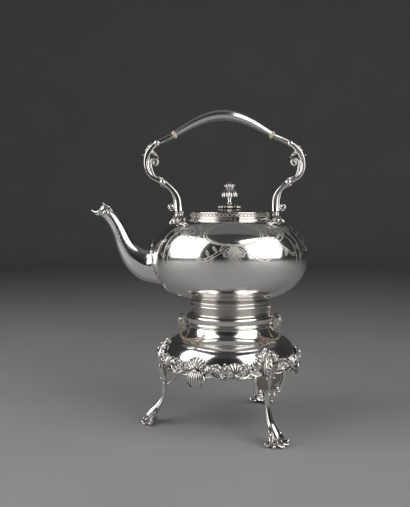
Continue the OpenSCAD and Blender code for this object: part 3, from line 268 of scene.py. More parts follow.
# %% Shader group
def silver_group():
    """Colour, roughness and height of polished silver, from recess, clouds and scratches."""
    tree = bpy.data.node_groups.new("worn_silver", "ShaderNodeTree")
    add = tree.interface.new_socket
    for label, kind, value in (
        ("Clean", "Color", (0.93, 0.91, 0.88, 1)),
        ("Tarnish", "Color", (0.35, 0.27, 0.19, 1)),
        ("Recess gain", "Float", 0.8),
        ("Cloud gain", "Float", 0.15),
        ("Polish", "Float", 0.08),
    ):
        add(name=label, in_out="INPUT", socket_type="NodeSocket" + kind).default_value = value
    for label, kind in (("Color", "Color"), ("Roughness", "Float"), ("Height", "Float")):
        add(name=label, in_out="OUTPUT", socket_type="NodeSocket" + kind)
    ins, outs = tree.nodes.new("NodeGroupInput"), tree.nodes.new("NodeGroupOutput")
    place, recess = new_nodes(tree, "TexCoord", "Attribute")
    recess.attribute_name = "recess"
    clouds, wipes, stretch = new_nodes(tree, "TexNoise", "TexNoise", "Mapping")
    put(clouds, {"Scale": 26, "Detail": 5})
    put(wipes, {"Scale": 90, "Detail": 8})
    put(stretch, {"Scale": (1, 1, 14)})
    hollow, both, rough, wiped = new_nodes(tree, "Math", "Math", "Math", "Math")
    cloud, mix = new_nodes(tree, "MapRange", "Mix")
    hollow.operation = "MULTIPLY"
    put(cloud, {"From Min": 0.45, "From Max": 0.8})
    both.operation = "ADD"
    both.use_clamp = True
    mix.data_type = "RGBA"
    rough.operation = wiped.operation = "MULTIPLY_ADD"
    put(rough, {1: 0.28})
    put(wiped, {1: 0.06})
    wire(
        tree,
        (place, "Object", clouds, "Vector"),
        (place, "Object", stretch, "Vector"),
        (stretch, "Vector", wipes, "Vector"),
        (recess, "Fac", hollow, 0),
        (ins, "Recess gain", hollow, 1),
        (clouds, "Fac", cloud, "Value"),
        (ins, "Cloud gain", cloud, "To Max"),
        (hollow, 0, both, 0),
        (cloud, "Result", both, 1),
        (both, 0, mix, "Factor"),
        (ins, "Clean", mix, "A"),
        (ins, "Tarnish", mix, "B"),
        (both, 0, rough, 0),
        (ins, "Polish", rough, 2),
        (wipes, "Fac", wiped, 0),
        (rough, 0, wiped, 2),
        (mix, "Result", outs, "Color"),
        (wiped, 0, outs, "Roughness"),
        (wipes, "Fac", outs, "Height"),
    )
    return tree


WORN_SILVER = silver_group()
SCRATCH_DEPTH = 0.000002


def silver(name, clean, tarnish, recess_gain, cloud_gain, polish):
    """A silver finish: metal whose colour, roughness and fine relief come from the group."""
    material, tree, shader = new_material(name)
    worn, bump = new_nodes(tree, "Group", "Bump")
    worn.node_tree = WORN_SILVER
    put(shader, {"Metallic": 1})
    put(worn, {"Clean": (*clean, 1), "Tarnish": (*tarnish, 1), "Recess gain": recess_gain,
               "Cloud gain": cloud_gain, "Polish": polish})
    put(bump, {"Strength": 0.25, "Distance": SCRATCH_DEPTH})
    wire(tree, (worn, "Color", shader, "Base Color"), (worn, "Roughness", shader, "Roughness"),
         (worn, "Height", bump, "Height"), (bump, "Normal", shader, "Normal"))
    return material


def plain(name, low, high, scale, roughness, bump_height, coat=0.0):
    """A material whose colour drifts between two shades, with a fine grain."""
    material, tree, shader = new_material(name)
    put(shader, {"Roughness": roughness, "Coat Weight": coat})
    place, noise, ramp, bump = new_nodes(tree, "TexCoord", "TexNoise", "ValToRGB", "Bump")
    put(noise, {"Scale": scale, "Detail": 6})
    put(bump, {"Distance": bump_height, "Strength": 0.4})
    for stop, position, shade in zip(ramp.color_ramp.elements, (0.35, 0.65), (low, high)):
        stop.position = position
        stop.color = (*shade, 1)
    wire(tree, (place, "Object", noise, "Vector"), (noise, "Fac", ramp, "Fac"),
         (ramp, "Color", shader, "Base Color"), (noise, "Fac", bump, "Height"),
         (bump, "Normal", shader, "Normal"))
    return material


# %% Finishes
BROWN = (0.16, 0.115, 0.075)
POLISHED = silver("polished_silver", (0.93, 0.915, 0.89), BROWN, 0.75, 0.06, 0.1)
CAST = silver("cast_silver", (0.92, 0.9, 0.865), BROWN, 0.75, 0.1, 0.09)
TURNED = silver("turned_silver", (0.92, 0.9, 0.86), BROWN, 0.4, 0.12, 0.1)
ENGRAVED = silver("engraved_line", (0.8, 0.77, 0.71), (0.3, 0.24, 0.17), 0.3, 0.15, 0.4)
HARDWARE = silver("hardware_silver", (0.78, 0.75, 0.7), BROWN, 0.6, 0.3, 0.14)
TARNISHED = silver("tarnished_silver", (0.5, 0.43, 0.35), BROWN, 0.6, 0.4, 0.2)
IVORY = plain("ivory", (0.66, 0.56, 0.4), (0.83, 0.75, 0.6), 160, 0.3, 0.00003, 0.4)
COTTON = plain("cotton_wick", (0.6, 0.56, 0.48), (0.8, 0.77, 0.7), 900, 0.9, 0.0004)
FLOOR = plain("pale_floor", (0.41, 0.41, 0.41), (0.44, 0.44, 0.44), 4, 0.7, 0.0)

# %% [markdown]
# ## Studio
# Two large soft boxes stand to the left and right of the camera, and a weak one hangs high behind
# the kettle. In a mirror-like body the first two show as bright panes with a dark gap between
# them, which is what makes it read as silver, so their places matter more than their power.

# %% Floor, world and lights
FLOOR_R, WALL_H = 4200.0, 3600.0
FLOOR_BEND, FLOOR_DROP, FLOOR_SIDES = 1500.0, 0.2, 96
AIM_HEIGHT = 200.0


def stage_floor():
    """A wide round floor that sweeps up into a wall all round, so that no horizon shows."""
    bend = arc((FLOOR_R - FLOOR_BEND, FLOOR_BEND), FLOOR_BEND, -90, 0, 24)
    outline = np.concatenate([[[1, 0], [400, 0], [900, 0], [1500, 0]], bend,
                              [[FLOOR_R, 2200], [FLOOR_R, WALL_H]]])
    points = about_axis(outline[:, :1], around(FLOOR_SIDES)[None, :], outline[:, 1:] - FLOOR_DROP)
    faces = grid_faces(1, len(outline), FLOOR_SIDES, False).tolist() + [list(range(FLOOR_SIDES))]
    mesh = bpy.data.meshes.new("floor")
    mesh.from_pydata((points.reshape(-1, 3) * MM).tolist(), [], faces)
    mesh.shade_smooth()
    floor = bpy.data.objects.new("floor", mesh)
    bpy.context.scene.collection.objects.link(floor)
    mesh.materials.append(FLOOR)


def soft_box(name, azimuth, height, distance, wide, tall, power):
    """A rectangular light that faces the kettle. Azimuth is in degrees from the camera's
    side, positive to the right; the other sizes are in millimetres."""
    lamp = bpy.data.lights.new(name, "AREA")
    lamp.shape = "RECTANGLE"
    lamp.size, lamp.size_y = wide * MM, tall * MM
    lamp.energy = power
    light = bpy.data.objects.new(name, lamp)
    a = math.radians(azimuth)
    place = np.array([AXIS + distance * math.sin(a), -distance * math.cos(a), height]) * MM
    light.location = place
    aim = np.array([AXIS, 0, AIM_HEIGHT]) * MM - place
    light.rotation_mode = "QUATERNION"
    light.rotation_quaternion = Vector(aim).to_track_quat("-Z", "Y")
    bpy.context.scene.collection.objects.link(light)


stage_floor()
world = bpy.data.worlds.new("studio")
bpy.context.scene.world = world
world.use_nodes = True
put(world.node_tree.nodes["Background"], {"Color": (0.045, 0.045, 0.048, 1), "Strength": 1})
soft_box("left_box", -69, 700, 1150, 1250, 1300, 10.5)
soft_box("right_box", 48, 700, 1150, 1250, 1300, 10.5)
soft_box("top_box", 180, 1700, 500, 2400, 2000, 1.3)
bpy.context.scene.view_settings.view_transform = "Standard"

# %% [markdown]
# ## Kettle body, foot and mouth
# The body was raised from sheet and is a flattened globe. Its outline is a superellipse, a little
# squarer than an ellipse, with a tighter curve below than above. The foot collar and the mouth ring
# are turned mouldings soldered on. All of them are closed outlines turned about the kettle's axis.

# %% Sizes that the kettle's pieces share
STAND_TOP = 131.0
BELLY_Z = 216.0
BODY_R = 97.5
SHOULDER_H = 40.0
BELLY_DROP = 57.0
FULLNESS = 2.2
MOUTH_R = 44.0
THROAT_R = MOUTH_R + 10
HEEL_R = 30.0
SHEET = 1.2
COLLAR_R = 48.0
COLLAR_TOP = STAND_TOP + 30
SHOULDER_TOP = BELLY_Z + SHOULDER_H
RING_H = 3.0
LID_R = MOUTH_R + 5.5


def swell(q):
    """Superellipse: how wide the body still is at a share q of its height above the belly."""
    return np.maximum(0, 1 - np.maximum(0, q) ** FULLNESS) ** (1 / FULLNESS)


def body_radius(z):
    """Outer radius of the kettle's body at height z."""
    z = np.asarray(z, float)
    top = THROAT_R + (BODY_R - THROAT_R) * swell((z - BELLY_Z) / SHOULDER_H)
    low = HEEL_R + (BODY_R - HEEL_R) * swell((BELLY_Z - z) / BELLY_DROP)
    return np.where(z >= BELLY_Z, top, low)


def body_outline(inset, n=60):
    """The body's outline from the mouth round to the foot, set in by a wall."""
    a = np.radians(np.linspace(88, 0, n))
    b = np.radians(np.linspace(0, 72, n))[1:]
    power = 2 / FULLNESS
    top = np.stack([THROAT_R + (BODY_R - THROAT_R - inset) * np.cos(a) ** power,
                    BELLY_Z + (SHOULDER_H - inset) * np.sin(a) ** power], -1)
    low = np.stack([HEEL_R + (BODY_R - HEEL_R - inset) * np.cos(b) ** power,
                    BELLY_Z - (BELLY_DROP - inset) * np.sin(b) ** power], -1)
    return np.concatenate([top, low])


# %% Kettle body
def kettle_body():
    """The raised body with its floor, as one closed wall open at the mouth."""
    floor_z = COLLAR_TOP - 1
    inner = body_outline(SHEET)
    inner = inner[inner[:, 1] > floor_z + 0.5][::-1]
    outline = np.concatenate([
        [[MOUTH_R, SHOULDER_TOP], [THROAT_R, SHOULDER_TOP]], even(body_outline(0), 110),
        [[COLLAR_R - 1, floor_z - 2], [0, floor_z - 2], [0, floor_z]], even(inner, 60),
        [[THROAT_R, SHOULDER_TOP - SHEET], [MOUTH_R, SHOULDER_TOP - SHEET]]])
    piece = skins("body", [(turned(outline, 240), 0)], "kettle", POLISHED, loop=True)
    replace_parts(piece, "kettle_body")


def bead(r, z, radius):
    """A half-round moulding on an outline that runs upwards."""
    return arc((r, z), radius, -90, 90, 10)


def kettle_foot():
    """The collar under the body with its three half-round mouldings, and the flange below."""
    inner = COLLAR_R - 3.4
    flange_r, flange_h = 54.0, 8.2
    side = COLLAR_R - 1
    outline = np.concatenate([
        [[inner, STAND_TOP], [flange_r - 0.8, STAND_TOP], [flange_r, STAND_TOP + 0.8]],
        arc((flange_r + 1, STAND_TOP + flange_h), 3.0, 255, 180, 8),
        *(bead(side, STAND_TOP + h, 1.7) for h in (10.2, 20.5, 25)),
        [[side, STAND_TOP + 27.3], [inner, STAND_TOP + 27.3]]])
    to_groove = [abs(outline[:, 1] - STAND_TOP - h) for h in (8.4, 12.1, 18.6, 22.8, 27)]
    hollow = np.clip(1.2 - np.minimum.reduce(to_groove), 0, 1)
    piece = skins("foot_collar", [(turned(outline), hollow)], "kettle", TURNED, loop=True)
    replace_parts(piece, "kettle_foot")


def mouth_ring():
    """The stepped ring round the mouth, with a fine groove."""
    outline = soften([
        [MOUTH_R, 0], [LID_R + 3.2, 0], [LID_R + 3.1, 0.8], [LID_R + 2.4, 1.1], [LID_R + 2.4, 1.7],
        [LID_R + 0.6, RING_H], [MOUTH_R, RING_H]], 0.3) + (0, SHOULDER_TOP)
    piece = skins("mouth_moulding", [(turned(outline), 0)], "kettle", TURNED, loop=True)
    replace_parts(piece, "mouth_ring")


kettle_body()
kettle_foot()
mouth_ring()

# %% [markdown]
# ## Lid
# The lid has an upright band between two fine mouldings and a low dome. It turns about a hinge
# pin at its near edge.

# %% Lid
LID_Z = SHOULDER_TOP + RING_H + 0.1
BAND_H, BAND_R = 7.0, LID_R - 0.7
DOME_Z = LID_Z + BAND_H
LID_RISE = 4.6
LID_SHEET = 1.1


def lid():
    """Band and dome in one closed wall, from the band's foot over the crown and back inside."""
    t = np.linspace(0, 1, 30)
    dome = np.stack([(LID_R - 1.5) * (1 - t), DOME_Z + LID_RISE * np.sin(np.pi / 2 * t ** 0.8)], -1)
    band = soften([
        [LID_R, LID_Z], [LID_R, LID_Z + 1.4], [BAND_R, LID_Z + 2], [BAND_R, DOME_Z - 1.4],
        [LID_R, DOME_Z - 0.8], [LID_R, DOME_Z], [LID_R - 1.4, DOME_Z + 0.1]], 0.25)[5:-5]
    wall = LID_R - LID_SHEET * 1.6
    inside = np.concatenate([dome[::-1] - [0, LID_SHEET],
                             [[wall, DOME_Z - LID_SHEET - 1], [wall, LID_Z]]])
    outline = np.concatenate([[[LID_R - 0.3, LID_Z]], band, dome[1:], inside])
    hollow = np.where((abs(outline[:, 0] - BAND_R) < 0.2) & (outline[:, 1] < DOME_Z), 1, 0)
    piece = skins("lid_cover", [(turned(outline, 200), hollow)], "lid", TURNED, loop=True)
    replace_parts(piece, "lid")


lid()

# %% [markdown]
# ## Stand
# The stand's sheet is a hollow cove under the rim, a round shoulder and a short upright apron.
# Its cast border, knees, legs and pendants are made as leaves, shells and scrolls that lie on
# that sheet. Each is drawn flat, as a length round the apron and a height, and a small function
# wraps it on to the sheet, so that a casting keeps its seat all the way round.

# %% Sizes of the stand
RIM_R, RIM_H = 54.5, 6.0
APRON_R, APRON_Z, APRON_H = 82.0, 80.0, 9.0
NECK_H = 14.5
NECK_Z, NECK_R = STAND_TOP - RIM_H, RIM_R - 1
SHOULDER_Z = APRON_Z + APRON_H
RISE = NECK_Z - NECK_H - SHOULDER_Z + 0.5
SHOULDER_IN = NECK_R + NECK_H * 0.6
BULGE = APRON_R - SHOULDER_IN
STAND_SHEET = 1.4
SEAT = 0.15
LEGS = (180.0, -60.0, 60.0)
PENDANTS = (-120.0, 120.0, 0.0)


def stand_outline(inset, n=24):
    """The stand from the neck down: a cove, the round shoulder and the upright apron."""
    low = np.array([NECK_R + 0.74 * NECK_H, NECK_Z - 0.97 * NECK_H])
    cove = bezier([(NECK_R, NECK_Z), (NECK_R + 0.8, NECK_Z - 5), low - (5.4, -3), low], n)
    cove = cove - (inset, 0)
    a = np.radians(np.linspace(72, 0, n))
    round_part = np.stack([SHOULDER_IN + (BULGE - inset) * np.cos(a),
                           SHOULDER_Z + (RISE - inset) * np.sin(a)], -1)
    return np.concatenate([cove, round_part, [[APRON_R - inset, APRON_Z]]])


def stand_shell():
    """The pressed sheet, closed at the neck and at the apron's lower edge."""
    inner = even(stand_outline(STAND_SHEET), 60)[::-1]
    outline = np.concatenate([even(stand_outline(0), 90), inner])
    piece = skins("stand_sheet", [(turned(outline, 240), 0)], "stand", POLISHED, loop=True)
    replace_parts(piece, "stand_shell")


def stand_rim():
    """The rim that carries the kettle, with a bead at its upper edge."""
    b = 1.2
    outline = np.concatenate([
        [[NECK_R - 4, NECK_Z], [RIM_R - b, NECK_Z]],
        arc((RIM_R + 0.3, NECK_Z + 1), 2.2, 238, 130, 8),
        arc((RIM_R - b, NECK_Z + RIM_H - b - 0.4), b, -60, 90, 8),
        [[RIM_R - b - 0.2, NECK_Z + RIM_H], [NECK_R - 4, NECK_Z + RIM_H]]])
    piece = skins("rim_ring", [(turned(outline), 0.1)], "stand", TURNED, loop=True)
    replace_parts(piece, "stand_rim")


def apron_edge():
    """The turned-in edge of the apron, with its wire bead."""
    h = 3.2
    outline = np.concatenate([
        [[APRON_R - STAND_SHEET, APRON_Z], [APRON_R - STAND_SHEET, APRON_Z - h]],
        arc((APRON_R + 0.1, APRON_Z - h), 1.3, 190, 430, 14),
        [[APRON_R, APRON_Z - h + 1.4], [APRON_R, APRON_Z]]])
    piece = skins("apron_wire", [(turned(outline), 0.2)], "stand", TURNED, loop=True)
    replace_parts(piece, "apron_edge")


stand_shell()
stand_rim()
apron_edge()

# %% Wrapping a flat drawing on to the stand
def apron_radius(z):
    """Radius of the stand's outside at height z, on its apron and shoulder."""
    up = np.clip((np.asarray(z, float) - SHOULDER_Z) / RISE, 0, 0.999)
    return SHOULDER_IN + BULGE * np.sqrt(1 - up * up)


def on_apron(turn):
    """A wrap for drawings centred on direction turn: (s round, z up, h out) to points in space."""
    def wrap(s, z, h):
        s, z, h = arrays(s, z, h)
        r = apron_radius(z)
        out = np.where(z <= SHOULDER_Z, 1, (r - SHOULDER_IN) / BULGE ** 2)
        up = np.where(z <= SHOULDER_Z, 0, (z - SHOULDER_Z) / RISE ** 2)
        size = np.hypot(out, up)
        r, z = r + h * out / size, z + h * up / size
        return about_axis(r, math.radians(turn) + s / APRON_R, z)
    return wrap


# %% Leaves, shells and scrolls
SKIN = 0.15


def plate(wrap, s, z, face, back, hollow):
    """A closed sheet between two heights on the wrap, with a back that is all hollow."""
    front, rear = wrap(s, z, face), wrap(s, z, back)[:, ::-1]
    hollow = np.broadcast_to(hollow, front.shape[:2])
    return np.concatenate([front, rear], 1), np.concatenate([hollow, np.ones_like(hollow)], 1)


def ribbed(across, ribs):
    """Rounded ribs with sharp grooves between them, over a width from -1 to 1."""
    return abs(np.cos(np.pi * ribs * (across + 1) / 2 + np.pi / 2)) ** 0.7


def leaf(wrap, spine, half, lift, back=SEAT, lobes=5, cut=0.25, crown=0.6, rows=36, cols=11):
    """A leaf along a flat spine. Its edge swings in and out in rounded lobes by a share cut of its
    half width. Its face has a sunk midrib, and veins that run out to the lobes."""
    spine = even(spine, rows)
    t = np.linspace(0, 1, rows + 1)[:, None]
    v = np.linspace(-1, 1, cols)[None, :]
    side = normals(spine)
    wave = 0.5 + 0.5 * np.cos(2 * np.pi * lobes * t)
    width = half * np.sin(np.pi * np.clip(t * 0.96 + 0.04, 0, 1)) ** 0.7 * (1 - cut * (1 - wave))
    veins = np.cos(2 * np.pi * (lobes * t - 0.9 * abs(v)))
    height = lift * np.sin(np.pi * np.clip(t * 0.9 + 0.07, 0, 1)) ** 0.5 * (
        1 - crown * v * v + 0.16 * veins * abs(v) - 0.3 * np.exp(-(v / 0.12) ** 2))
    place = spine[:, None, :] + side[:, None, :] * (width * v)[..., None]
    hollow = 0.9 * np.exp(-(v / 0.16) ** 2) + 0.55 * (0.5 - 0.5 * veins) + 0.8 * abs(v) ** 6
    face = back + SKIN + np.maximum(height, 0.1)
    return plate(wrap, place[..., 0], place[..., 1], face, back, np.clip(hollow, 0, 1))


def shell(wrap, root, length, spread, lift, tilt=0.0, ribs=7, back=SEAT, rows=18, start=0.12):
    """A ribbed fan that opens from its root, tilt degrees from straight up. Ribs are rounded and
    meet in sharp grooves, and each ends in its own scallop."""
    cols = ribs * 6 + 1
    q = np.linspace(start, 1, rows)[:, None]
    f = np.linspace(-1, 1, cols)[None, :]
    ridge = ribbed(f, ribs)
    reach = length * q * (1 - 0.1 * q ** 3 * (1 - ridge)) * (1 - 0.12 * f * f)
    a = np.radians(tilt + spread * f)
    crown = np.sin(np.pi * np.clip(q * 0.8 + 0.12, 0, 1)) ** 0.7
    height = lift * crown * (0.45 + 0.55 * ridge) * (1 - 0.3 * f * f)
    s, z = root[0] + reach * np.sin(a), root[1] + reach * np.cos(a)
    return plate(wrap, s, z, back + SKIN + height, back, np.clip((1 - ridge) * 1.1, 0, 1))


def scroll(wrap, spine, thick, lift, back=SEAT, cols=12, ends=(0.45, 0.8)):
    """A round bar along a flat spine that lies on the wrap, with a width that swells between its
    ends, given as shares of thick."""
    rows = max(14, len(spine))
    spine = even(spine, rows)
    t = np.linspace(0, 1, rows + 1)[:, None]
    side = normals(spine)
    size = ends[0] + (ends[1] - ends[0]) * t + np.sin(np.pi * t) * (1 - (ends[0] + ends[1]) / 2)
    a = around(cols)[None, :]
    place = spine[:, None, :] + side[:, None, :] * (thick / 2 * size * np.cos(a))[..., None]
    height = back + lift * size * (0.5 + 0.5 * np.sin(a))
    hollow = np.broadcast_to(np.clip(0.5 - 0.8 * np.sin(a), 0, 1), height.shape)
    return wrap(place[..., 0], place[..., 1], height), hollow


def ball(centre, radius, squash=1.0, hollow=0.05):
    """A small bead as a grid of circles of latitude."""
    b = np.linspace(-0.97, 0.97, 10)[:, None] * np.pi / 2
    a = around(16)[None, :]
    x, y, z = arrays(np.cos(b) * np.cos(a), np.cos(b) * np.sin(a), np.sin(b) * squash)
    return np.asarray(centre, float) + radius * np.stack([x, y, z], -1), hollow

# %% [markdown]
# ## Spout
# The spout is a hollow swan neck with shallow flutes that meet in crisp ridges. Its sections are
# carried along one path that leaves the belly level, turns up, and bends over to the cast lip.

# %% Carrying a section along a path in the kettle's middle plane
def carried(path, thick, wide, form=None, cols=32, y=0.0):
    """A bar along a path of (x, z) points in millimetres from the axis. Its half thickness lies in
    the plane and its half width across it. form(angle, t) scales the section, as for flutes."""
    t = np.linspace(0, 1, len(path))[:, None]
    a = around(cols)[None, :]
    normal = normals(path)
    u, v = np.cos(a) * thick[:, None] / 2, np.sin(a) * wide[:, None] / 2
    if form is not None:
        scale = form(a, t)
        u, v = u * scale, v * scale
    x = path[:, None, 0] + normal[:, None, 0] * u
    z = path[:, None, 1] + normal[:, None, 1] * u
    return np.stack([AXIS + x, y + v, z], -1)


# %% Spout
SPOUT_ROOT_Z = BELLY_Z - 15.5
SPOUT_ROOT, SPOUT_SIDE, SPOUT_END = 25.0, 17.0, 6.0
SPOUT_TIP = np.array([-158.0, BELLY_Z + 53.4 - 0.9])
SPOUT_SHEET = 1.3
SPOUT_FLUTES, SPOUT_COLS = 8, 64


def spout_path(n=90):
    """The swan neck: level out of the belly, up, and over to the tip."""
    bend = (-BODY_R - 37, SPOUT_ROOT_Z + 36.4)
    low = bezier([(-BODY_R + 4, SPOUT_ROOT_Z - 0.5), (-BODY_R - 15.5, SPOUT_ROOT_Z - 1.5),
                  (-BODY_R - 28.5, SPOUT_ROOT_Z + 13.5), bend], 60)
    top = bezier([bend, (-BODY_R - 40.7, SPOUT_ROOT_Z + 46.5), SPOUT_TIP + (12, -6), SPOUT_TIP], 40)
    return smooth(even(chain_curves(low, top), n), 6)


SPOUT_THICK = ((0, 50), (0.12, 39), (0.25, 31.5), (0.4, 24.5),
               (0.56, 20), (0.72, 17), (0.88, 14.6), (1, 12))
SPOUT_WIDE = ((0, 34), (0.12, 29), (0.25, 24.5), (0.4, 20),
              (0.56, 17.4), (0.72, 15.4), (0.88, 13.4), (1, 11.4))


def spline(t, pairs):
    """A smooth value through the pairs, by a cubic with slopes from the neighbours."""
    x, y = np.array(pairs, float).T
    slope = np.gradient(y, x)
    k = np.clip(np.searchsorted(x, t, side="right") - 1, 0, len(x) - 2)
    h = x[k + 1] - x[k]
    f = (t - x[k]) / h
    return (y[k] * (1 + 2 * f) * (1 - f) ** 2 + y[k + 1] * f * f * (3 - 2 * f)
            + h * (slope[k] * f * (1 - f) ** 2 - slope[k + 1] * f * f * (1 - f)))


def flutes(angle, t):
    """Hollow panels between sharp ridges: the section dips between the ridges."""
    fade = np.clip(t / 0.1, 0, 1) * np.clip((1 - t) / 0.08, 0, 1)
    return 1 - 0.05 * fade * abs(np.sin(SPOUT_FLUTES * angle / 2))


def spout_wall(inset):
    """One surface of the spout, whose first ring lies on the belly."""
    path = spout_path()
    t = np.linspace(0, 1, len(path))
    thick, wide = (spline(t, pairs) - 2 * inset for pairs in (SPOUT_THICK, SPOUT_WIDE))
    rings = carried(path, thick, wide, flutes, SPOUT_COLS)
    a = around(SPOUT_COLS)
    y, z = (SPOUT_SIDE - inset) * np.sin(a), SPOUT_ROOT_Z - (SPOUT_ROOT - inset) * np.cos(a)
    root = np.stack([AXIS - np.sqrt((body_radius(z) + 0.1) ** 2 - y * y), y, z], -1)
    return root, rings


def spout():
    """Outer wall from the belly to the tip, then the inner wall back, closed on itself."""
    walls = []
    first = 9
    for inset in (0, SPOUT_SHEET):
        root, rings = spout_wall(inset)
        blend = np.linspace(0, 1, first)[:, None, None]
        away = rings[first] - root
        start = root + away * blend + (rings[first] - rings[first + 1]) * (blend * (1 - blend))
        walls.append(np.concatenate([start[:-1], rings[first:]]))
    grid = np.concatenate([walls[0], walls[1][::-1]])
    hollow = np.repeat([0, 0.8], [len(wall) for wall in walls])[:, None]
    hollow = np.clip(hollow + 0.12 * abs(np.sin(SPOUT_FLUTES * around(SPOUT_COLS) / 2)), 0, 1)
    piece = skins("spout_tube", [(grid, hollow)], "kettle", POLISHED, loop=True, sharp=14)
    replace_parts(piece, "spout")


spout()

# %% [markdown]
# ## Grip
# The grip is a long arch, thickest in the middle, drawn in flat facets that catch the light as
# long bright lines.

# %% Grip and insulators
HANDLE_SHIFT, HANDLE_LEAN = 3.0, 5.0
SOCKET_Z = SHOULDER_TOP - 0.6 + 12
GRIP_T, GRIP_END_T = 13.8, 8.0
GRIP_U, GRIP_DROP, GRIP_SLOPE = 58.5, 22.3, 31.0
GRIP_Z = BELLY_Z + 176.6 - GRIP_T / 2
GRIP_END_Z = GRIP_Z - GRIP_DROP
INSULATOR_L, INSULATOR_R = 4.8, 4.9


def handle_x(side, u, z):
    """Where a point of the handle lies along X: mirrored, shifted and leaning to the spout."""
    return side * u - HANDLE_SHIFT - HANDLE_LEAN * (z - SOCKET_Z) / (GRIP_END_Z - SOCKET_Z)


def grip():
    """Faceted bar along the arch, with rounded ends."""
    slope = np.array([math.cos(math.radians(GRIP_SLOPE)), -math.sin(math.radians(GRIP_SLOPE))])
    end = np.array([GRIP_U, GRIP_END_Z])
    half = bezier([(0, GRIP_Z), (GRIP_U * 0.38, GRIP_Z), end - slope * 22, end], 50)
    path = chain_curves(half[::-1] * [-1, 1], half) + [handle_x(1, 0, GRIP_END_Z), 0]
    t = np.linspace(0, 1, len(path))
    thick = spline(t, ((0, GRIP_END_T), (0.25, GRIP_T * 0.82), (0.5, GRIP_T),
                       (0.75, GRIP_T * 0.82), (1, GRIP_END_T)))

    def facets(angle, t):
        """Ten flats with softened edges."""
        turn = (angle + np.pi / 10) % (np.pi / 5) - np.pi / 10
        return 0.985 * np.cos(np.pi / 10) / np.cos(turn) * (1 + 0 * t)

    grid = carried(path, thick, thick, facets, 60)
    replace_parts(skins("grip_bar", [(grid, 0)], "kettle", POLISHED, sharp=12), "handle_grip")


def insulator(side):
    """An ivory insulator as a turned bead between the grip and its arm."""
    neck = INSULATOR_R - 0.9
    outline = soften([(0.05, 0.1), (neck, 0.1), (INSULATOR_R, 1.2),
                      (INSULATOR_R, INSULATOR_L - 1.2),
                      (neck, INSULATOR_L - 0.1), (0.05, INSULATOR_L - 0.1)], 0.7, 6)
    a = around(48)[:, None]
    r, l = outline[None, :, 0], outline[None, :, 1]
    slope = math.radians(GRIP_SLOPE)
    along = np.array([side * math.cos(slope), -math.sin(slope)])
    up = np.array([side * math.sin(slope), math.cos(slope)])
    x = handle_x(side, GRIP_U, GRIP_END_Z) + along[0] * l + up[0] * r * np.cos(a)
    z = GRIP_END_Z + along[1] * l + up[1] * r * np.cos(a)
    return np.stack([AXIS + x, r * np.sin(a) + 0 * l, z], -1)[None]


grip()
for end_name, side in (("front", -1), ("rear", 1)):
    piece = skins(end_name + "_ivory", [(insulator(side), 0)], "kettle", IVORY, loop=True)
    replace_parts(piece, end_name + "_insulator")

# %% [markdown]
# ## Handle arms
# Each arm is cast as two strands. The outer one runs in one sweep from the socket, out over the
# shoulder bead and up to the insulator. Thinner inner strands follow it and end in curls. The
# control points hold distance from the middle of the handle, height, thickness in the handle's
# plane and width across it, in millimetres.

# %% Bars through control points
def through(points, n):
    """A smooth curve through rows of any number of values, as n + 1 rows."""
    p = np.asarray(points, float)
    p = np.concatenate([[2 * p[0] - p[1]], p, [2 * p[-1] - p[-2]]])
    x = np.linspace(0, len(points) - 1, 400)
    k = np.clip(x.astype(int), 0, len(points) - 2)
    t = (x - k)[:, None]
    a, b, c, d = p[k], p[k + 1], p[k + 2], p[k + 3]
    rows = 0.5 * (2 * b + (c - a) * t + (2 * a - 5 * b + 4 * c - d) * t ** 2
                  + (3 * b - a - 3 * c + d) * t ** 3)
    run = np.concatenate([[0], np.cumsum(np.linalg.norm(np.diff(rows[:, :2], axis=0), axis=1))])
    s = np.linspace(0, run[-1], n + 1)
    return np.stack([np.interp(s, run, rows[:, j]) for j in range(rows.shape[1])], -1)


def grooved(depth):
    """A section with a groove down the middle of its near and far faces."""
    def form(angle, t):
        fade = np.clip(t / 0.08, 0, 1) * np.clip((1 - t) / 0.08, 0, 1)
        away = [np.abs((angle / np.pi - s + 1) % 2 - 1) for s in (0.5, -0.5)]
        return 1 - depth * fade * sum(np.exp(-(d / 0.3 * 2.2) ** 2) for d in away)
    return form


def handle_bar(side, points, n=60, form=None, cols=20, floor=None):
    """A bar of the handle, drawn for the rear arm and mirrored for the front. Its points don't
    go below floor."""
    rows = through(points, n)
    path = np.stack([handle_x(side, rows[:, 0], rows[:, 1]), rows[:, 1]], -1)
    grid = carried(path, rows[:, 2], rows[:, 3], form, cols)
    if floor is not None:
        grid[..., 2] = np.maximum(grid[..., 2], floor)
    a = around(cols)[None, :]
    t = np.linspace(0, 1, n + 1)[:, None]
    hollow = 0.05 + 0 * a * t if form is None else np.clip((1 - form(a, t)) * 5, 0, 1)
    return grid, hollow


def curled(start, centre, r0, r1, a0, a1, sizes):
    """Control points of a strand that ends in a curl. sizes holds its thickness and width at its
    start and at its end."""
    curl = spiral(centre, r0, r1, a0, a1, 9)
    path = np.concatenate([np.asarray(start, float), curl])
    t = np.linspace(0, 1, len(path))[:, None]
    bulge = np.sin(np.pi * np.clip(t * 1.15, 0, 1))
    size = np.array(sizes[0]) * (1 - t) + np.array(sizes[1]) * t
    return np.concatenate([path, size * (0.8 + 0.2 * bulge)], 1)


def lobed(count, depth):
    """A section that swells and shrinks along the bar, as the lobes of a curling leaf do."""
    def form(angle, t):
        swing = depth * np.abs(np.sin(angle)) ** 2 * (0.5 - 0.5 * np.cos(2 * np.pi * count * t))
        return 1 - swing - 0.16 * np.exp(-((angle - np.pi / 2) / 0.3) ** 2)
    return form


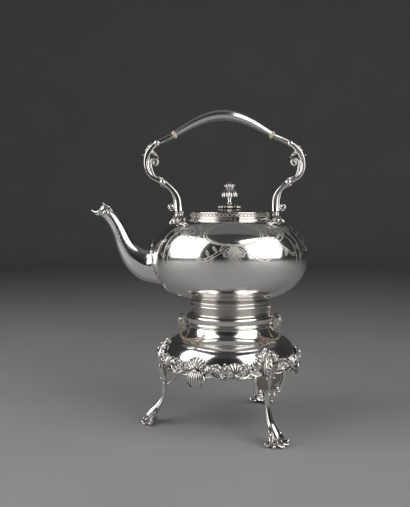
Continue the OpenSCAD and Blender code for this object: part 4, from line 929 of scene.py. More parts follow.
# %% Arms
OUTER_STRAND = (
    (60.2, 267.9, 10.6, 8.6), (60.3, 275, 9.4, 8.2), (60.9, 283, 8.6, 7.8), (63.9, 290.2, 7.8, 7.4),
    (69.4, 297, 7.2, 7.2), (75, 302.2, 7, 7), (78, 303.9, 9.2, 8.6), (80.6, 304.9, 7, 7),
    (86, 307.2, 5.6, 6.4), (92.6, 311.6, 5.4, 6), (97.2, 319.6, 5, 6), (97.8, 329.4, 5.4, 6.4),
    (94.8, 338.6, 7.6, 7.4), (89.4, 346, 7, 7.2), (84.6, 350.6, 6.6, 6.8), (82.6, 351.8, 9, 8.8),
    (80.4, 353, 6.6, 6.8), (74, 355.9, 7, 7), (67, 358.9, 7.3, 7.3), (62.9, 360.75, 7.4, 7.4))
LOWER_STRAND = curled(
    [(81.5, 300.2), (76.5, 298.9), (71.6, 296.2), (67.6, 291), (65.5, 284.4), (64.4, 278)],
    (69.4, 273.4), 5.2, 1.6, 165, 560, ((3.4, 5), (4.2, 8)))
UPPER_STRAND = curled(
    [(80.2, 307.4), (85, 308.8), (88.6, 312.6), (90.8, 319.4), (91.9, 326)],
    (86.2, 327.6), 5.9, 1.6, 8, 470, ((3.2, 5), (3.2, 6.6)))
MIDDLE_STRAND = (
    (84.5, 306.6, 1.6, 3), (90.4, 311.6, 2.2, 4), (94, 319, 2.2, 4.4), (94.6, 328, 2.2, 4.4),
    (92.5, 335, 1.4, 3))
ARM_LEAVES = (
    (((93.6, 342.4, 3, 3), (90, 341, 5, 7.4), (85.6, 338.4, 4.6, 8.6), (82.4, 334.6, 2, 4),
      (82.2, 332.8, 0.6, 1)), 48, lobed(3, 0.34), 20),
    (((95.4, 331, 2, 3), (97.4, 334, 3, 5), (99.6, 336.4, 1.8, 3), (101.8, 338.4, 0.4, 0.6)),
     24, lobed(2, 0.2), 14),
    (((97, 338, 2, 3), (96.2, 343, 3.2, 6), (92.8, 348.4, 2.4, 5.4), (89.8, 351.6, 0.6, 1)),
     30, lobed(3, 0.3), 16),
    (((75, 304.6, 1.6, 2), (77.6, 307.4, 3.2, 6), (81.6, 309.8, 2, 4), (84.4, 310.8, 0.5, 1)),
     24, lobed(2, 0.25), 14),
)


def arm(side):
    """All the strands, curls and leaves of one arm."""
    foot = SOCKET_Z + 0.15
    parts = [
        handle_bar(side, OUTER_STRAND, 150, grooved(0.2), 24, foot),
        handle_bar(side, LOWER_STRAND, 90, grooved(0.12), 14, foot),
        handle_bar(side, UPPER_STRAND, 100, grooved(0.12), 14),
        handle_bar(side, MIDDLE_STRAND, 40, None, 12),
        *(handle_bar(side, *leaf_bar) for leaf_bar in ARM_LEAVES),
    ]
    for u, z, r in ((78, 303.9, 4.7), (82.6, 351.8, 4.5)):
        parts.append(ball((AXIS + handle_x(side, u, z), 0, z), r, 0.92, hollow=0.1))
    return parts


# %% Sockets
def shoulder_height(r):
    """Height of the body's upper surface at a distance from the axis."""
    share = (r - THROAT_R) / (BODY_R - THROAT_R)
    return BELLY_Z + SHOULDER_H * np.where(r <= THROAT_R, 1, swell(share))


SOCKET_U = 59.0
SOCKET_LEAVES = 9
CUP = ((0, 1), (0.12, 0.99), (0.35, 0.8), (0.62, 0.52), (0.8, 0.5), (0.9, 0.56), (1, 0.46))


def socket(side):
    """A leaf cup that stands on the shoulder: pointed leaves at the foot, drawn in to a neck."""
    t = np.linspace(0, 1, 26)[:, None]
    a = around(SOCKET_LEAVES * 8)[None, :]
    wave = np.abs(np.cos(SOCKET_LEAVES * a / 2))
    midrib = 0.05 * np.exp(-((wave - 1) / 0.04) ** 2) * (t < 0.6)
    size = spline(t, CUP) * (1 - (0.17 - 0.09 * t) * (1 - wave) - midrib)
    x = handle_x(side, SOCKET_U, SOCKET_Z) + side * 2.5 * (1 - t) + 11.5 * size * np.cos(a)
    y = 9 * size * np.sin(a)
    out = np.maximum(1, (LID_R + 3.7) / np.hypot(x, y))
    x, y = x * out, y * out
    foot = shoulder_height(np.hypot(x, y)) + 0.3
    z = foot + (SOCKET_Z - 0.02 - foot) * t
    hollow = np.clip(1.3 * (1 - wave) + 0.25 * (1 - t), 0, 1)
    return np.stack([AXIS + x, y + 0 * z, z], -1), hollow * np.ones_like(z)


for end_name, side in (("front", -1), ("rear", 1)):
    piece = skins(end_name + "_scroll_arm", arm(side), "kettle", CAST, sharp=40)
    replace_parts(piece, end_name + "_arm")
    piece = skins(end_name + "_leaf_socket", [socket(side)], "kettle", CAST, sharp=40)
    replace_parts(piece, end_name + "_socket")

# %% [markdown]
# ## Finial
# A leaf rosette carries a turned stem, and on it a bud with a pleated skirt and a small second bud.

# %% Finial
FINIAL_Z = DOME_Z + LID_RISE
STEM_TOP = FINIAL_Z + 14


def round_grid(profile, form, cols):
    """A turned form whose radius is scaled by form(angle, share of the profile)."""
    a = around(cols)[None, :]
    t = np.linspace(0, 1, len(profile))[:, None]
    return about_axis(profile[:, :1] * form(a, t), a, profile[:, 1:])


ROSE = ((5, 0.15), (11.5, 0.3), (15.1, 1.1), (15.6, 2.6),
        (13.6, 4.4), (10, 5.2), (7, 4.9), (5, 5.9))
STEM = ((4.1, 6.1), (4.3, 7), (3.4, 7.6), (2.7, 9), (2.5, 11), (3, 12.6), (3.1, 13.9))
BUD = ((3.2, 0.1), (8.6, 0.1), (10.4, 0.6), (10.9, 2.4), (10.1, 5.2), (7.9, 8.3), (5.3, 10.4),
       (4.4, 11.8), (5.2, 13.6), (5, 15.6), (3.6, 17.6), (1.6, 19.3), (0.3, 20))
BUD_TIP = ((3.4, 10.6, 2, 3), (5.2, 12.6, 2, 3.4), (6, 15, 1.2, 2), (6.4, 16.4, 0.4, 0.6))
PETALS, PLEATS, TWIST, TIPS = 8, 15, 0.7, 5


def valleys(a, count):
    """0 on the middle of each of count petals or pleats, rising to 1 between them."""
    return 1 - np.abs(np.cos(count * a / 2))


def petal(a, t):
    """Section of the rosette: petals with a fine cut between them."""
    edge = np.clip((t - 0.1) / 0.25, 0, 1) * np.clip((1 - t) / 0.25, 0, 1)
    fine = np.exp(-(np.sin(PETALS * a / 2) / 0.16) ** 2)
    return 1 - 0.22 * edge * (1 - np.abs(np.cos(PETALS * a / 2)) ** 0.8) - 0.05 * edge * fine


def pleat(a, t):
    """Section of the bud: pleats that turn a little on their way up."""
    edge = np.clip((t - 0.12) / 0.1, 0, 1) * np.clip((1 - t) / 0.2, 0, 1)
    return 1 - 0.1 * edge * (1 - np.abs(np.cos(PLEATS * (a + TWIST * t) / 2)) ** 0.9)


def finial():
    """Rosette, stem and bud, each on its own node."""
    rose = through(ROSE, 46) + (0, FINIAL_Z)
    grid = round_grid(rose, petal, PETALS * 16)
    hollow = np.clip(1.2 * valleys(around(PETALS * 16), PETALS) + 0.3, 0, 1)
    piece = skins("rosette_leaves", [(grid, hollow)], "lid", CAST, sharp=40)
    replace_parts(piece, "finial_rosette")

    core = through([(2, DOME_Z - 4.5), (2, FINIAL_Z + 5.9)], 4)
    whole = np.concatenate([core, through(STEM, 30) + (0, FINIAL_Z)])
    grid = round_grid(whole, lambda a, t: 1 + 0 * a * t, 40)
    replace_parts(skins("turned_stem", [(grid, 0.2)], "lid", TURNED), "finial_stem")

    skirt = through(BUD, 90) + (0, STEM_TOP)
    a, t = around(PLEATS * 10)[None, :], np.linspace(0, 1, len(skirt))[:, None]
    waist = 0.9 * (t < 0.1) + 0.7 * np.exp(-((t - 0.66) / 0.05) ** 2)
    hollow = np.clip(1.4 * valleys(a + TWIST * t, PLEATS) + waist, 0, 1)
    parts = [(round_grid(skirt, pleat, PLEATS * 10), hollow)]
    for k in range(TIPS):
        turn = math.radians(360 / TIPS * k + 20)
        rows = through(BUD_TIP, 16) + (0, STEM_TOP, 0, 0)
        g = carried(rows[:, :2], rows[:, 2], rows[:, 3], lobed(2, 0.2), 12)
        x, y = g[..., 0] - AXIS, g[..., 1].copy()
        g[..., 0] = AXIS + x * math.cos(turn) - y * math.sin(turn)
        g[..., 1] = x * math.sin(turn) + y * math.cos(turn)
        parts.append((g, 0.15))
    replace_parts(skins("pleated_bud", parts, "lid", CAST, sharp=40), "finial_bud")


finial()

# %% [markdown]
# ## Legs
# Each leg starts as a broad shield between two straps that curl into volutes. It narrows to a
# slim, ridged shaft, and spreads at the floor into a leaf foot with five curled toes. Legs are
# drawn with a distance from the axis, a distance across the leg and a height.

# %% Leg shapes
def round_axis(turn, r, s, z):
    """Points at distance r in direction turn, s to its left and z up."""
    r, s, z = arrays(r, s, z)
    c, d = math.cos(math.radians(turn)), math.sin(math.radians(turn))
    return np.stack([AXIS + r * c - s * d, r * d + s * c, z], -1)


LEG_TOP = 79.25
FOOT_R = 97.0
TOES = ((-80, 16.6, 8, 1.8), (-42, 15.4, 8.6, 0), (0, 16, 8.6, 0), (42, 15.4, 8.6, 0),
        (80, 16.6, 8, 1.8))
LEG_PATH = chain_curves(
    bezier([(85, 79.3), (84.4, 72), (80.4, 62), (81.2, 46.4)], 30),
    bezier([(81.2, 46.4), (82.2, 31), (87.2, 21.5), (100, 7.4)], 30))


def leg_r(z):
    """Distance of the leg's middle line from the axis at height z, for its upper half."""
    return np.interp(-np.asarray(z, float), -LEG_PATH[:45, 1], LEG_PATH[:45, 0])


SHAFT_THICK = ((0, 4.6), (0.12, 4.8), (0.26, 4.6), (0.5, 4.8), (0.72, 5.4), (0.9, 8), (1, 8))
SHAFT_WIDE = ((0, 37), (0.08, 35), (0.16, 26), (0.26, 11), (0.34, 8.2), (0.6, 8.4),
              (0.76, 9.6), (0.9, 14.5), (1, 20))


def leg_shaft(turn):
    """Shield, shaft and instep in one skin, with a ridge down the outside and hollow flanks."""
    path = even(LEG_PATH, 110)
    t = np.linspace(0, 1, len(path))[:, None]
    a = around(36)[None, :]
    off = (a + np.pi) % (2 * np.pi) - np.pi
    outside = np.abs(off) < np.pi / 2
    ridge = (1 + 0.42 * np.exp(-(off / 0.22) ** 2) * np.clip(t / 0.1, 0.3, 1)
             - 0.24 * np.exp(-((np.abs(off) - 0.62) / 0.26) ** 2))
    veins = 1 + 0.09 * np.clip((t - 0.74) / 0.16, 0, 1) * np.cos(10 * off)
    u = spline(t, SHAFT_THICK) / 2 * np.cos(a) * np.where(outside, ridge, 1) * veins
    v = spline(t, SHAFT_WIDE) / 2 * np.sin(a) * veins
    low = np.clip(1 - (np.where(outside, ridge, 0.9) - 0.72) * 2.4, 0, 1)
    hollow = np.maximum(low * (0.5 + 0.5 * (t < 0.3)), (t < 0.24) * (np.abs(off) > 0.1))
    r, z = (path[:, k:k + 1] + normals(path)[:, k:k + 1] * u for k in (0, 1))
    return round_axis(turn, r, v, np.minimum(z, LEG_TOP)), hollow


def leg_bar(turn, points):
    """A bar on the leg's line, from rows of distance across, height, thickness and depth."""
    rows = through(points, 90)
    grid = carried(rows[:, :2], rows[:, 2], rows[:, 3], lobed(0, 0), 14)
    s, depth, z = grid[..., 0] - AXIS, grid[..., 1], np.minimum(grid[..., 2], LEG_TOP)
    return round_axis(turn, leg_r(z) + 0.8 + depth, s, z), 0.15


def toe(turn, heading, length, wide, lift):
    """One curled toe of the leaf foot, that leaves the instep at an angle to the leg."""
    rows = through([
        (-5, 8.6, 6, wide * 0.7), (0.25 * length, 6.4, 6, wide),
        (0.6 * length, 3.2, 4.6, wide * 1.05), (0.86 * length, 2.2 + 0.3 * lift, 3.6, wide * 0.8),
        (length, 2.4 + lift, 2.6, wide * 0.5), (length - 0.6, 4.2 + lift, 1.4, wide * 0.25)], 34)
    grid = carried(rows[:, :2], rows[:, 2], rows[:, 3], lobed(3, 0.22), 18)
    l, w, z = grid[..., 0] - AXIS, grid[..., 1], np.maximum(grid[..., 2], 0)
    c, d = math.cos(math.radians(heading)), math.sin(math.radians(heading))
    return round_axis(turn, FOOT_R + l * c - w * d, l * d + w * c, z), 0.2


def leg_wrap(turn):
    """A wrap on to the outside of the shield: (s across, z up, h out)."""
    def wrap(s, z, h):
        return round_axis(turn, leg_r(z) + 2.1 - 0.004 * np.asarray(s, float) ** 2 + h, s, z)
    return wrap


def leg(turn):
    """Everything below the apron at one leg."""
    wrap = leg_wrap(turn)
    parts = [leg_shaft(turn)]
    for side in (-1, 1):
        strap = [(19.4, 79.3), (20.2, 74.5), (19.4, 69.6), (17.2, 64.6)]
        curl = spiral((12.6, 60.4), 4.6, 1.5, 12, -380, 10)
        path = np.concatenate([strap, curl]) * [side, 1]
        t = np.linspace(0, 1, len(path))[:, None]
        parts.append(leg_bar(turn, np.concatenate([path, 3.6 - 1.6 * t, 5 + 2 * t], 1)))
        parts.append(ball(round_axis(turn, leg_r(60.4) + 3.4, side * 12.6, 60.4), 1.7))
        parts.append(ball(round_axis(turn, leg_r(53.5) + 0.6, side * 9, 53.2), 2.4, 1.35))
        parts.append(ball(round_axis(turn, leg_r(56) + 0.6, side * 8.4, 56.8), 1.5, hollow=0.1))
    parts.append(leaf(wrap, [(0, 78.6), (0, 72), (0, 63)], 5.2, 2.6, -0.8, 3, 0.3))
    for side in (-1, 1):
        parts.append(ball(wrap(side * 5.2, 75.4, 0.7), 1.5))
    parts.append(ball(wrap(0, 55.4, 0.6), 2.1, 1.2))
    parts += [toe(turn, *sizes) for sizes in TOES]
    for side in (-1, 1):
        curl = spiral((0, 0), 2.6, 0.9, 200, -160, 8)
        path = through(curl + [96, 12.4], 40)
        grid = carried(path, np.full(41, 1.8), np.full(41, 3.4), None, 10)
        across = side * 7.4 + grid[..., 1]
        parts.append((round_axis(turn, grid[..., 0] - AXIS, across, grid[..., 2]), 0.1))
    return parts


for leg_name, turn in zip(("front", "near", "far"), LEGS):
    piece = skins(leg_name + "_scroll_leg", leg(turn), "stand", CAST, sharp=40)
    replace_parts(piece, "leg_" + leg_name)

# %% [markdown]
# ## Cast border
# The border runs between legs and pendants as scrolls, fans, buds and leaves. Every sixth of the
# ring is the same drawing, mirrored at each leg and pendant, so it is drawn once as a list.

# %% Border, knees and pendants
LOW = APRON_Z + 3.4


def flip(points, side):
    """Mirrors (s, z) points to the other side of a leg or pendant."""
    return np.asarray(points, float) * [side, 1]


BORDER_BUDS = (
    (24.6, 5.4, 2.4), (22.8, 1.2, 2), (33.4, 0.4, 1.7), (47.6, 4.6, 1.6), (60, 2.6, 1.9),
    (66.2, 7.2, 1.6), (52.4, 9.4, 1.3), (26.8, 9.6, 1.5), (56.6, -2.6, 1.4))
KNEE_BUDS = ((4.8, 19, 2), (10.4, 10.6, 1.8), (19.6, 6.4, 1.9), (4.2, 5, 1.5), (14.6, 13.8, 1.5))
DROP_RIBS, DROP_LENGTH = 7, 21.0


def border_half(turn, side):
    """From a knee's wing to a pendant, on one side of a leg."""
    wrap = on_apron(turn)
    parts = [
        leaf(wrap, flip([(47, LOW - 3), (54, LOW - 6.4), (62, LOW - 5)], side), 3.6, 5.4, lobes=3),
        leaf(wrap, flip([(42, LOW - 4), (35, LOW - 6.4), (28, LOW - 4.4)], side), 3.2, 5, lobes=3),
        shell(wrap, (side * 40.6, LOW - 2.2), 13.6, 50, 5.4, 0, 5),
        shell(wrap, (side * 71, LOW - 2.6), 9.6, 30, 3.6, side * 10, 3),
        leaf(wrap, flip([(28, LOW + 8.6), (33, LOW + 8), (37, LOW + 3), (36, LOW - 1)], side),
             3.2, 3, lobes=3),
        leaf(wrap, flip([(53, LOW + 1), (49, LOW + 7), (46.4, LOW + 9)], side), 2.9, 2.8, lobes=3),
        leaf(wrap, flip([(56, LOW + 2.6), (60, LOW + 7.4), (65, LOW + 8.4)], side),
             2.7, 2.8, lobes=3),
        scroll(wrap, flip(bezier([(44, LOW + 1.6), (49, LOW - 7.4), (58, LOW - 8.6),
                                  (68, LOW - 1.4)], 30), side), 5, 4.6),
        scroll(wrap, flip(bezier([(24, LOW - 1), (28, LOW - 8), (36, LOW - 8.4),
                                  (41.4, LOW - 2.4)], 24), side), 4.6, 4.2),
        scroll(wrap, flip(spiral((63.4, LOW + 3.2), 3.4, 1.0, -60, 300, 34), side), 1.9, 3),
        scroll(wrap, flip(spiral((29.4, LOW + 2.6), 3.6, 1.0, 250, -110, 34), side), 2, 3.2),
    ]
    for s, z, r in BORDER_BUDS:
        parts.append(ball(wrap(side * s, LOW + z, r * 0.8 + SEAT), r))
    return parts


def pendant(turn):
    """A fan on the apron, a knotted waist and a ribbed shell that hangs below the edge."""
    wrap = on_apron(turn)
    z0 = APRON_Z + 4
    parts = [shell(wrap, (0, z0 - 1), 16.5, 58, 6, 0, 7), shell(wrap, (0, z0), 10, 40, 8.4, 0, 5)]
    for side in (-1, 1):
        parts += [
            leaf(wrap, flip([(3, z0 + 2), (9, z0 + 1), (12.4, z0 - 4)], side), 3.4, 4, lobes=3),
            scroll(wrap, flip(spiral((6.2, z0 - 2.2), 3, 0.9, 100, -260, 30), side), 2, 5)]
    q = np.linspace(0.02, 1, 34)[:, None]
    v = np.linspace(-1, 1, 61)[None, :]
    ridge = ribbed(v, DROP_RIBS)
    half = 11.4 * np.sin(np.pi * np.clip(0.12 + 0.72 * q, 0, 1)) ** 0.9
    z = z0 - DROP_LENGTH * q * (1 - 0.2 * v * v - 0.05 * q ** 3 * (1 - ridge))
    crown = (np.sqrt(np.clip(1 - 0.8 * v * v, 0.02, 1))
             * np.sin(np.pi * np.clip(0.1 + 0.76 * q, 0, 1)) ** 0.7)
    face = 1.9 + 4.6 * crown + 0.9 * ridge * crown
    back = np.minimum(np.where(q < 0.2, SEAT, 1.8), face - 0.9)
    parts.append(plate(wrap, half * v, z, face, back, np.clip(1.15 * (1 - ridge), 0, 1)))
    for side in (-1, 1):
        strap = bezier([(2, z0 - 1.4), (13, z0 - 4), (13.5, z0 - 12), (6, z0 - 19.5)], 30)
        parts.append(scroll(wrap, flip(strap, side), 2.2, 4.4, 1.2))
    parts.append(ball(wrap(0, z0 + 0.4, 6.6), 2.3))
    parts.append(ball(wrap(0, z0 - DROP_LENGTH + 0.6, 2.6), 1.7, 1.2))
    return parts


def knee(turn):
    """The high boss over a leg: a leaf with a beaded crest, and ribbed wings to both sides."""
    wrap = on_apron(turn)
    z0 = APRON_Z + 4
    a = np.linspace(-1, 1, 41)[None, :]
    z = np.linspace(APRON_Z - 0.4, APRON_Z + 22, 30)[:, None]
    level = (z - APRON_Z) / 22
    half = 8.4 * spline(level, ((0, 0.92), (0.3, 1), (0.6, 0.86), (0.82, 0.6), (1, 0.24)))
    rise = spline(level, ((0, 7.6), (0.25, 8.6), (0.55, 7), (0.8, 4), (1, 1)))
    ridge = np.abs(np.cos(np.pi * 2.5 * (a + 1))) ** 0.8
    face = 0.5 + rise * np.sqrt(np.clip(1 - a * a, 0.02, 1)) * (0.86 + 0.2 * ridge)
    parts = [plate(wrap, half * a, z, face, SEAT, np.clip(1.2 * (1 - ridge), 0, 1))]
    for side in (-1, 1):
        sprig = flip([(6.6, z0 + 12), (10.4, z0 + 17), (16, z0 + 18)], side)
        sweep = bezier([(8, z0 - 3.4), (14, z0 - 6.6), (20, z0 - 5), (24, z0 - 1)], 24)
        parts += [
            shell(wrap, (side * 9.6, z0 - 1), 15.4, 34, 6, side * 50, 5),
            shell(wrap, (side * 7.4, z0 + 7), 12, 26, 5, side * 22, 4),
            leaf(wrap, sprig, 3, 3.6, lobes=3),
            scroll(wrap, flip(spiral((15.6, z0 + 1.4), 4, 1.2, 110, -250, 34), side), 2.4, 5.4),
            scroll(wrap, flip(sweep, side), 3, 4.4)]
        for s, dz, r in KNEE_BUDS:
            lift = 5 if s < 5 and dz < 12 else 0.8
            parts.append(ball(wrap(side * s, z0 + dz, r * 0.8 + SEAT + lift), r))
    parts.append(ball(wrap(0, z0 + 21.4, 2.2), 2.6))
    parts.append(ball(wrap(0, z0 + 15.6, 5.6), 2.2))
    parts.append(leaf(wrap, [(0, z0 - 4), (0, z0 + 5), (0, z0 + 13)], 5.4, 3.4, 6.6, 4, 0.3))
    return parts


border = [part for turn in LEGS for side in (-1, 1) for part in border_half(turn, side)]
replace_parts(skins("border_castings", border, "stand", CAST, sharp=40), "apron_border")
for place, turn in zip(("near", "far", "rear"), PENDANTS):
    piece = skins(place + "_shell_drop", pendant(turn), "stand", CAST, sharp=40)
    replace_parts(piece, "pendant_" + place)
for place, turn in zip(("front", "near", "far"), LEGS):
    piece = skins(place + "_knee_leaves", knee(turn), "stand", CAST, sharp=40)
    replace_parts(piece, "knee_" + place)

# %% [markdown]
# ## Spout castings
# The spout's end is a cast sleeve with a pointed lip, a crest leaf and two small volutes. Where
# the spout leaves the belly, short leaves, two rings and two volutes lie on the belly. They are
# thin castings, so each is drawn flat on a wrap that follows the body.

# %% Leaves on the belly
def on_belly(turn):
    """A wrap on to the kettle's body: s round from direction turn, z up, h out along its normal."""
    def wrap(s, z, h):
        s, z, h = arrays(s, z, h)
        slope = (body_radius(z + 0.2) - body_radius(z - 0.2)) / 0.4
        size = np.hypot(1, slope)
        r = body_radius(z) + h / size
        return about_axis(r, math.radians(turn) + s / BODY_R, z - h * slope / size)
    return wrap


def calyx():
    """Leaves, two rings and two volutes on the belly, round the foot of the spout."""
    belly = on_belly(180)
    parts = []
    for f in (-145, -110, -72, -36, 0, 36, 72, 110, 145):
        c, s = math.cos(math.radians(f)), math.sin(math.radians(f))
        reach = 9.5 if abs(f) < 100 else 12
        spine = [(q * s * (SPOUT_SIDE + g), SPOUT_ROOT_Z + c * (SPOUT_ROOT + g))
                 for g, q in ((-2, 1), (reach / 2, 1.04), (reach, 1))]
        parts.append(leaf(belly, spine, 5.4, 1.7, -0.1, 3, 0.3))
    turn = np.radians(np.linspace(0, 360, 121))
    for gap, wide, tall in ((0.4, 2.4, 1.9), (3, 1.5, 1.2)):
        ring = np.stack([(SPOUT_SIDE + gap) * np.sin(turn),
                         SPOUT_ROOT_Z + (SPOUT_ROOT + gap) * np.cos(turn)], -1)
        parts.append(scroll(belly, ring, wide, tall, -0.2, 14, (1, 1)))
    for side in (-1, 1):
        eye = (side * 21, SPOUT_ROOT_Z - 27)
        curl = spiral(eye, 4.4, 1.3, 90 - side * 60, 90 + side * 300, 30)
        parts += [scroll(belly, curl, 2, 1.5, 0), ball(belly(*eye, 0.6), 1.4, hollow=0.1)]
    return parts


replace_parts(skins("spout_calyx", calyx(), "kettle", CAST, sharp=40), "spout_leaves")
drop = on_belly(180)
foot = SPOUT_ROOT_Z - SPOUT_ROOT
piece = skins("drop_leaf", [
    leaf(drop, [(0, foot + 1), (0, foot - 6), (0, foot - 13)], 6.4, 3.0, 0, 4, 0.3),
    leaf(drop, [(0, foot + 1), (0, foot - 3), (0, foot - 8)], 3.4, 4.2, 0, 3, 0.2),
    ball(drop(0, foot - 13.2, 1), 1.5, hollow=0.1)], "kettle", CAST, sharp=40)
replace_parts(piece, "spout_drop")

# %% Cast lip
# Each ring: change of radius, reach on the upper and the lower side, how far it draws in, fringe
LIP_OUTSIDE = (
    (-0.4, -5, -5, 0, 0), (0.5, -4.6, -4.6, 0, 0), (0.5, -3.4, -3.4, 0, 0),
    (-0.1, -2.6, -2.6, 0, 0), (0, 0, 0.6, 0, 0), (0.3, 1.2, 3, 0.03, 0.02),
    (0.7, 2.4, 6, 0.14, 0.04),
    (0.5, 3.2, 9.6, 0.34, 0.05), (0.3, 3.4, 13, 0.7, 0.05), (0, 3.5, 14.6, 0.93, 0.03))
LIP_INSIDE = (
    (-1, 3.6, 14.2, 0.93, 0), (-1.2, 3, 12, 0.74, 0), (-1.4, 2, 8, 0.4, 0), (-1.6, 1, 3, 0.1, 0),
    (-1.9, -2, -2, 0, 0), (-1.9, -5, -5, 0, 0))


def strip(path, thick, wide, y):
    """A plain round bar of the lip, beside the middle plane."""
    return carried(path, thick, wide, None, 12, y), 0.2


def lip():
    """Sleeve over the spout's end. Rings move out along the spout; on the lower side they run
    further and draw together, which makes the pointed lip."""
    path = spout_path()
    d = path[-1] - path[-2]
    d /= np.linalg.norm(d)
    n = np.array([-d[1], d[0]])
    n = n * (-1 if n[1] > 0 else 1)
    a = around(72)
    low = np.maximum(0, np.cos(a)) ** 2.4
    sleeve_r = SPOUT_END + 0.7

    def ring(change, out, reach, grow, fringe):
        """One ring, which lies out along the spout above and reach along it below."""
        r = (sleeve_r + change) * (1 - grow * low) * (1 + fringe * np.cos(8 * a))
        w = out + (reach - out) * low
        straight = np.minimum(w, 4)
        level = w - straight
        x = SPOUT_TIP[0] + d[0] * straight - 0.99 * level + n[0] * r * np.cos(a)
        z = SPOUT_TIP[1] + d[1] * straight - 0.06 * level + n[1] * r * np.cos(a)
        return np.stack([AXIS + x, r * np.sin(a) * (1 - 0.2 * grow * low), z], -1)

    grid = np.stack([ring(*row) for row in LIP_OUTSIDE + LIP_INSIDE])
    hollow = np.repeat([0.1, 0.8], [len(LIP_OUTSIDE), len(LIP_INSIDE)])[:, None]
    hollow = np.clip(hollow + 0.25 * (0.5 - 0.5 * np.cos(8 * a)), 0, 1)
    top = SPOUT_TIP - n * sleeve_r
    crest = through([(*(top + d * out + n * side), thick, wide) for out, side, thick, wide in (
        (-11, 1.6, 2.4, 3.4), (-6, -1.2, 2.8, 6.6), (-1, -1.4, 2.4, 6.4), (2.6, -1.6, 1.9, 4.6),
        (4.8, -2.6, 1.2, 2.4))], 40)
    parts = [(carried(crest[:, :2], crest[:, 2], crest[:, 3], lobed(4, 0.2), 20), 0.2)]
    curl = spiral(tuple(top - d * 9.4 + n * 3.6), 3.4, 1, -70, -400, 40)
    tag = through([(*(SPOUT_TIP + n * 4 - d * 3), 1.6, 2.6), (*(SPOUT_TIP + n * 6.4 + d), 1.8, 3),
                   (*(SPOUT_TIP + n * 8.6 + d * 4.6), 1, 1.6)], 24)
    for side in (-1, 1):
        parts.append(strip(curl, np.linspace(1.9, 1.3, 41), np.full(41, 2.4), side * 6.2))
        parts.append(strip(tag[:, :2], tag[:, 2], tag[:, 3], side * 2.6))
    piece = skins("lip_sleeve", [(grid, hollow)], "kettle", CAST, loop=True, sharp=40)
    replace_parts(piece, "spout_lip")
    skins("lip_leaves", parts, "kettle", CAST, sharp=40)


lip()

# %% [markdown]
# ## Chains
# Each pin hangs from the stand by a fine chain of round links. A chain has one end on the stand and
# the other on a sliding pin. The links keep their CAD shape, except that the middle of each chain
# is pushed a little outwards.

# %% Chains
CHAIN_OUT = 1.1


def pin_chain(node, end_x):
    """A merged copy of the CAD links. Its middle, between its staple on the stand and its pin,
    stands a little further out than in CAD, to clear the cove."""
    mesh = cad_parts[node].data.copy()
    work = bmesh.new()
    work.from_mesh(mesh)
    bmesh.ops.remove_doubles(work, verts=work.verts, dist=WELD / 2)
    work.to_mesh(mesh)
    work.free()
    mesh.shade_smooth()
    mesh.materials.clear()
    mesh.materials.append(TARNISHED)
    links = bpy.data.objects.new(node.replace("chain", "fine_links"), mesh)
    bpy.context.scene.collection.objects.link(links)
    low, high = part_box(node)
    points = np.array([v.co for v in mesh.vertices])
    along = (points[:, 0] - (low[0] if end_x > 0 else high[0])) / ((high[0] - low[0]) * end_x)
    away = points[:, :2] - (AXIS * MM, 0)
    away /= np.linalg.norm(away, axis=1, keepdims=True)
    swell_out = CHAIN_OUT * MM * np.sin(np.pi * np.clip(along, 0, 1)) ** 0.5
    points[:, :2] += away * swell_out[:, None]
    mesh.vertices.foreach_set("co", points.reshape(-1))
    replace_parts(links, node)
    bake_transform(links)
    print(links.name, len(mesh.polygons), "faces")


pin_chain("front_chain", -1)
pin_chain("rear_chain", 1)

# %% [markdown]
# ## Engraving
# Cut lines scatter light, so they look pale on the dark parts of a mirror and dark on the bright
# parts. Here each line is a very thin ribbon of matt silver that lies on the body. The drawing
# is a traditional one: an oval cartouche with festoons, scrolls and straps, and the far side
# has the same.

# %% Engraved lines on the body
LINE = 1.5


def ribbon(wrap, path, wide, ends, lift=0.2):
    """One cut line along a path, as a thin strip with ends of a given share of its width."""
    return scroll(wrap, path, LINE * wide, lift, -0.05, 6, (ends, ends))


def line(wrap, points, side=1, wide=0.8):
    """One cut line through (s, z) points, mirrored by side. Two points make it straight."""
    points = flip(points, side)
    return ribbon(wrap, through(points, 46) if len(points) > 2 else even(points, 12), wide, 0.4)


def ovate(wrap, place, heading, length, side=1):
    """The outline of a small pointed leaf with a midrib, at an angle in degrees from upright."""
    t = np.linspace(0, 2 * np.pi, 25)
    l = length * (0.5 - 0.5 * np.cos(t))
    w = length * 0.24 * np.sin(t) * (0.6 + 0.4 * np.cos(t / 2) ** 2)
    c, d = math.cos(math.radians(heading)), math.sin(math.radians(heading))
    edge = np.stack([place[0] + l * d + w * c, place[1] + l * c - w * d], -1)
    rib = [place, (place[0] + 0.8 * length * d, place[1] + 0.8 * length * c)]
    return [ribbon(wrap, flip(edge, side), 0.55, 0.7, 0.18), line(wrap, rib, side, 0.55)]


OVAL_Z, OVAL_HALF = 241.6, 36.8


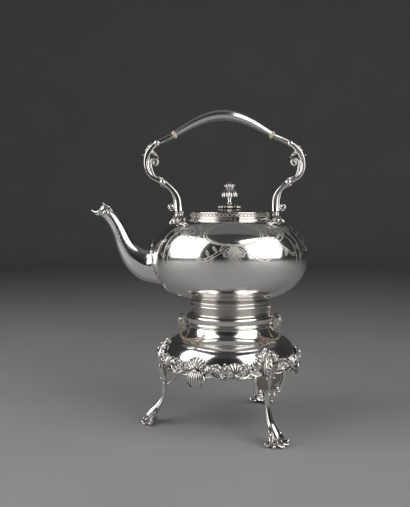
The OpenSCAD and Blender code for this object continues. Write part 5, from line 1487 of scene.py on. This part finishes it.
def cartouche(wrap):
    """The middle of the drawing: double oval, tassel and the knot of the festoons."""
    parts = []
    for share, wide in ((1, 1.2), (0.91, 0.7)):
        t = np.linspace(0, 2 * np.pi, 91)
        ring = np.stack([OVAL_HALF * share * np.cos(t), OVAL_Z + 12.6 * share * np.sin(t)], -1)
        parts.append(ribbon(wrap, ring, wide, 1))
    for k in range(-6, 7):
        tip = (k * 1.9 + 1.2 * np.sign(k), 204.5 + 0.42 * k * k)
        parts.append(line(wrap, [(k * 0.6, 228), (k * 1.3, 217 + 0.1 * k * k), tip], 1, 0.7))
    for side in (-1, 1):
        bow = [(13.4, 221.8), (9, 217.3), (4.6, 218.9), (1.2, 224.4), (0, 229)]
        parts.append(line(wrap, bow, side, 1.0))
        parts.append(line(wrap, [(1.5, 229.5), (7, 231), (13, 228), (17, 222.5)], side))
        parts += ovate(wrap, (3, 228), 118, 13, side) + ovate(wrap, (4, 226), 140, 12, side)
    return parts


HALF_LINES = (
    ([(13.4, 221.8), (19, 218.3), (25.3, 214.5), (32.5, 211.6), (40, 212), (47, 216.5)], 1.1),
    ([(14, 224.4), (20, 221), (26, 217.2), (33, 214.4), (39.4, 214.8), (45.6, 219.2)], 0.7),
    ([(42, 248.3), (42, 240.6), (50, 236), (59.7, 239.2), (65, 245.8), (61, 249.3), (54, 247.8),
      (50.5, 243.5), (54.5, 241.8)], 1.1),
    ([(79, 250.2), (72.6, 243.5), (62.6, 235.8), (52.7, 231.5)], 0.8),
    ([(34, 235.2), (42.3, 231.7), (53.3, 233.8)], 0.8),
    ([(40.6, 239.4), (48.4, 234.3), (58.6, 229.1), (68.8, 223.7), (77.4, 218.3)], 1.0),
    ([(40.6, 236.8), (48.4, 231.7), (58.6, 226.5), (68.8, 221.1), (76.4, 216.4)], 0.7),
    ([(74.4, 244.6), (82.7, 239.3), (87.6, 231.7), (91.9, 221.1), (94.6, 210.4), (90.5, 202.4),
      (81, 198.3), (71.3, 198.3), (66.8, 201.5)], 1.5),
    ([(70.2, 239), (76, 233.7), (80.6, 226.2), (84.5, 216.8), (85.2, 208.6), (79.1, 203.1),
      (71.9, 201.8)], 0.9),
    ([(81.7, 250.2), (90.2, 246.6), (94.9, 240.7), (99, 230), (101, 219)], 0.8),
    ([(71.3, 251.4), (67.2, 243.5), (63.4, 236.9)], 0.8),
    ([(96, 238), (104, 243), (112, 241), (114, 235), (108, 231.5), (103, 234),
      (105.5, 237.5)], 1.0),
    ([(100, 224), (108, 221), (116, 224), (121, 231)], 0.8),
    ([(38, 246), (37.4, 251), (33, 254.2)], 0.9),
)
HALF_LEAVES = (
    ((24, 217.4), 165, 9), ((32, 214), 185, 9), ((40, 213.4), 205, 8), ((20, 222), 30, 7),
    ((29, 217), 15, 7), ((47, 217), 60, 9), ((47, 236), 200, 9), ((56, 231), 190, 9),
    ((66, 225.4), 185, 9), ((57, 238), 20, 8), ((44, 247), 50, 9), ((60, 240), 70, 10),
    ((77, 241), 65, 10), ((84, 228), 120, 9), ((90, 215), 75, 10), ((87, 205), 120, 9),
    ((76, 219), 100, 9), ((72, 203), 310, 9),
    ((82, 247), 80, 9), ((99, 246), 60, 8), ((106, 232), 160, 9), ((112, 225), 130, 8),
)


# On the spout's side the drawing stops short of the spout's leaves
SPOUT_REACH, LINE_OVER = 92, 12


def engraving(turn):
    """The whole drawing on one side of the body."""
    wrap = on_belly(turn)
    parts = cartouche(wrap)
    for side in (-1, 1):
        reach = math.inf if side * math.sin(math.radians(turn)) < 0 else SPOUT_REACH
        parts += [line(wrap, points, side, wide) for points, wide in HALF_LINES
                  if max(point[0] for point in points) < reach + LINE_OVER]
        for place, heading, length in HALF_LEAVES:
            if place[0] < reach:
                parts += ovate(wrap, place, heading, length, side)
    return parts


skins("near_engraving", engraving(-90), "kettle", ENGRAVED)
skins("far_engraving", engraving(90), "kettle", ENGRAVED)

# %% Engraved band on the lid
def lid_band():
    """Two crossing waves round the lid's upright band."""
    turn = around(720)
    parts = []
    for phase in (0, np.pi):
        z = LID_Z + 3.6 + 1.7 * np.sin(32 * turn + phase)
        section = ((0.32, 0.0), (0.192, 0.12), (-0.192, 0.12), (-0.32, 0.0), (0.0, -0.15))
        parts.append((np.stack([about_axis(LID_R + h, turn, z + dz) for dz, h in section], 1), 0.3))
    return parts


skins("lid_band_engraving", lid_band(), "lid", ENGRAVED, loop=True)

# %% [markdown]
# ## Hardware
# Ears, lugs, pins, rings, hinge and lamp keep their CAD shapes, which are already true to size.

# %% Finishes of the nodes that keep their CAD shape
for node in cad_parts.values():
    if not node.hide_render:
        node.data.materials.clear()
        node.data.materials.append(COTTON if node.name == "wick" else HARDWARE)
        node.data.shade_smooth()
        node.data.set_sharp_from_angle(angle=math.radians(40))
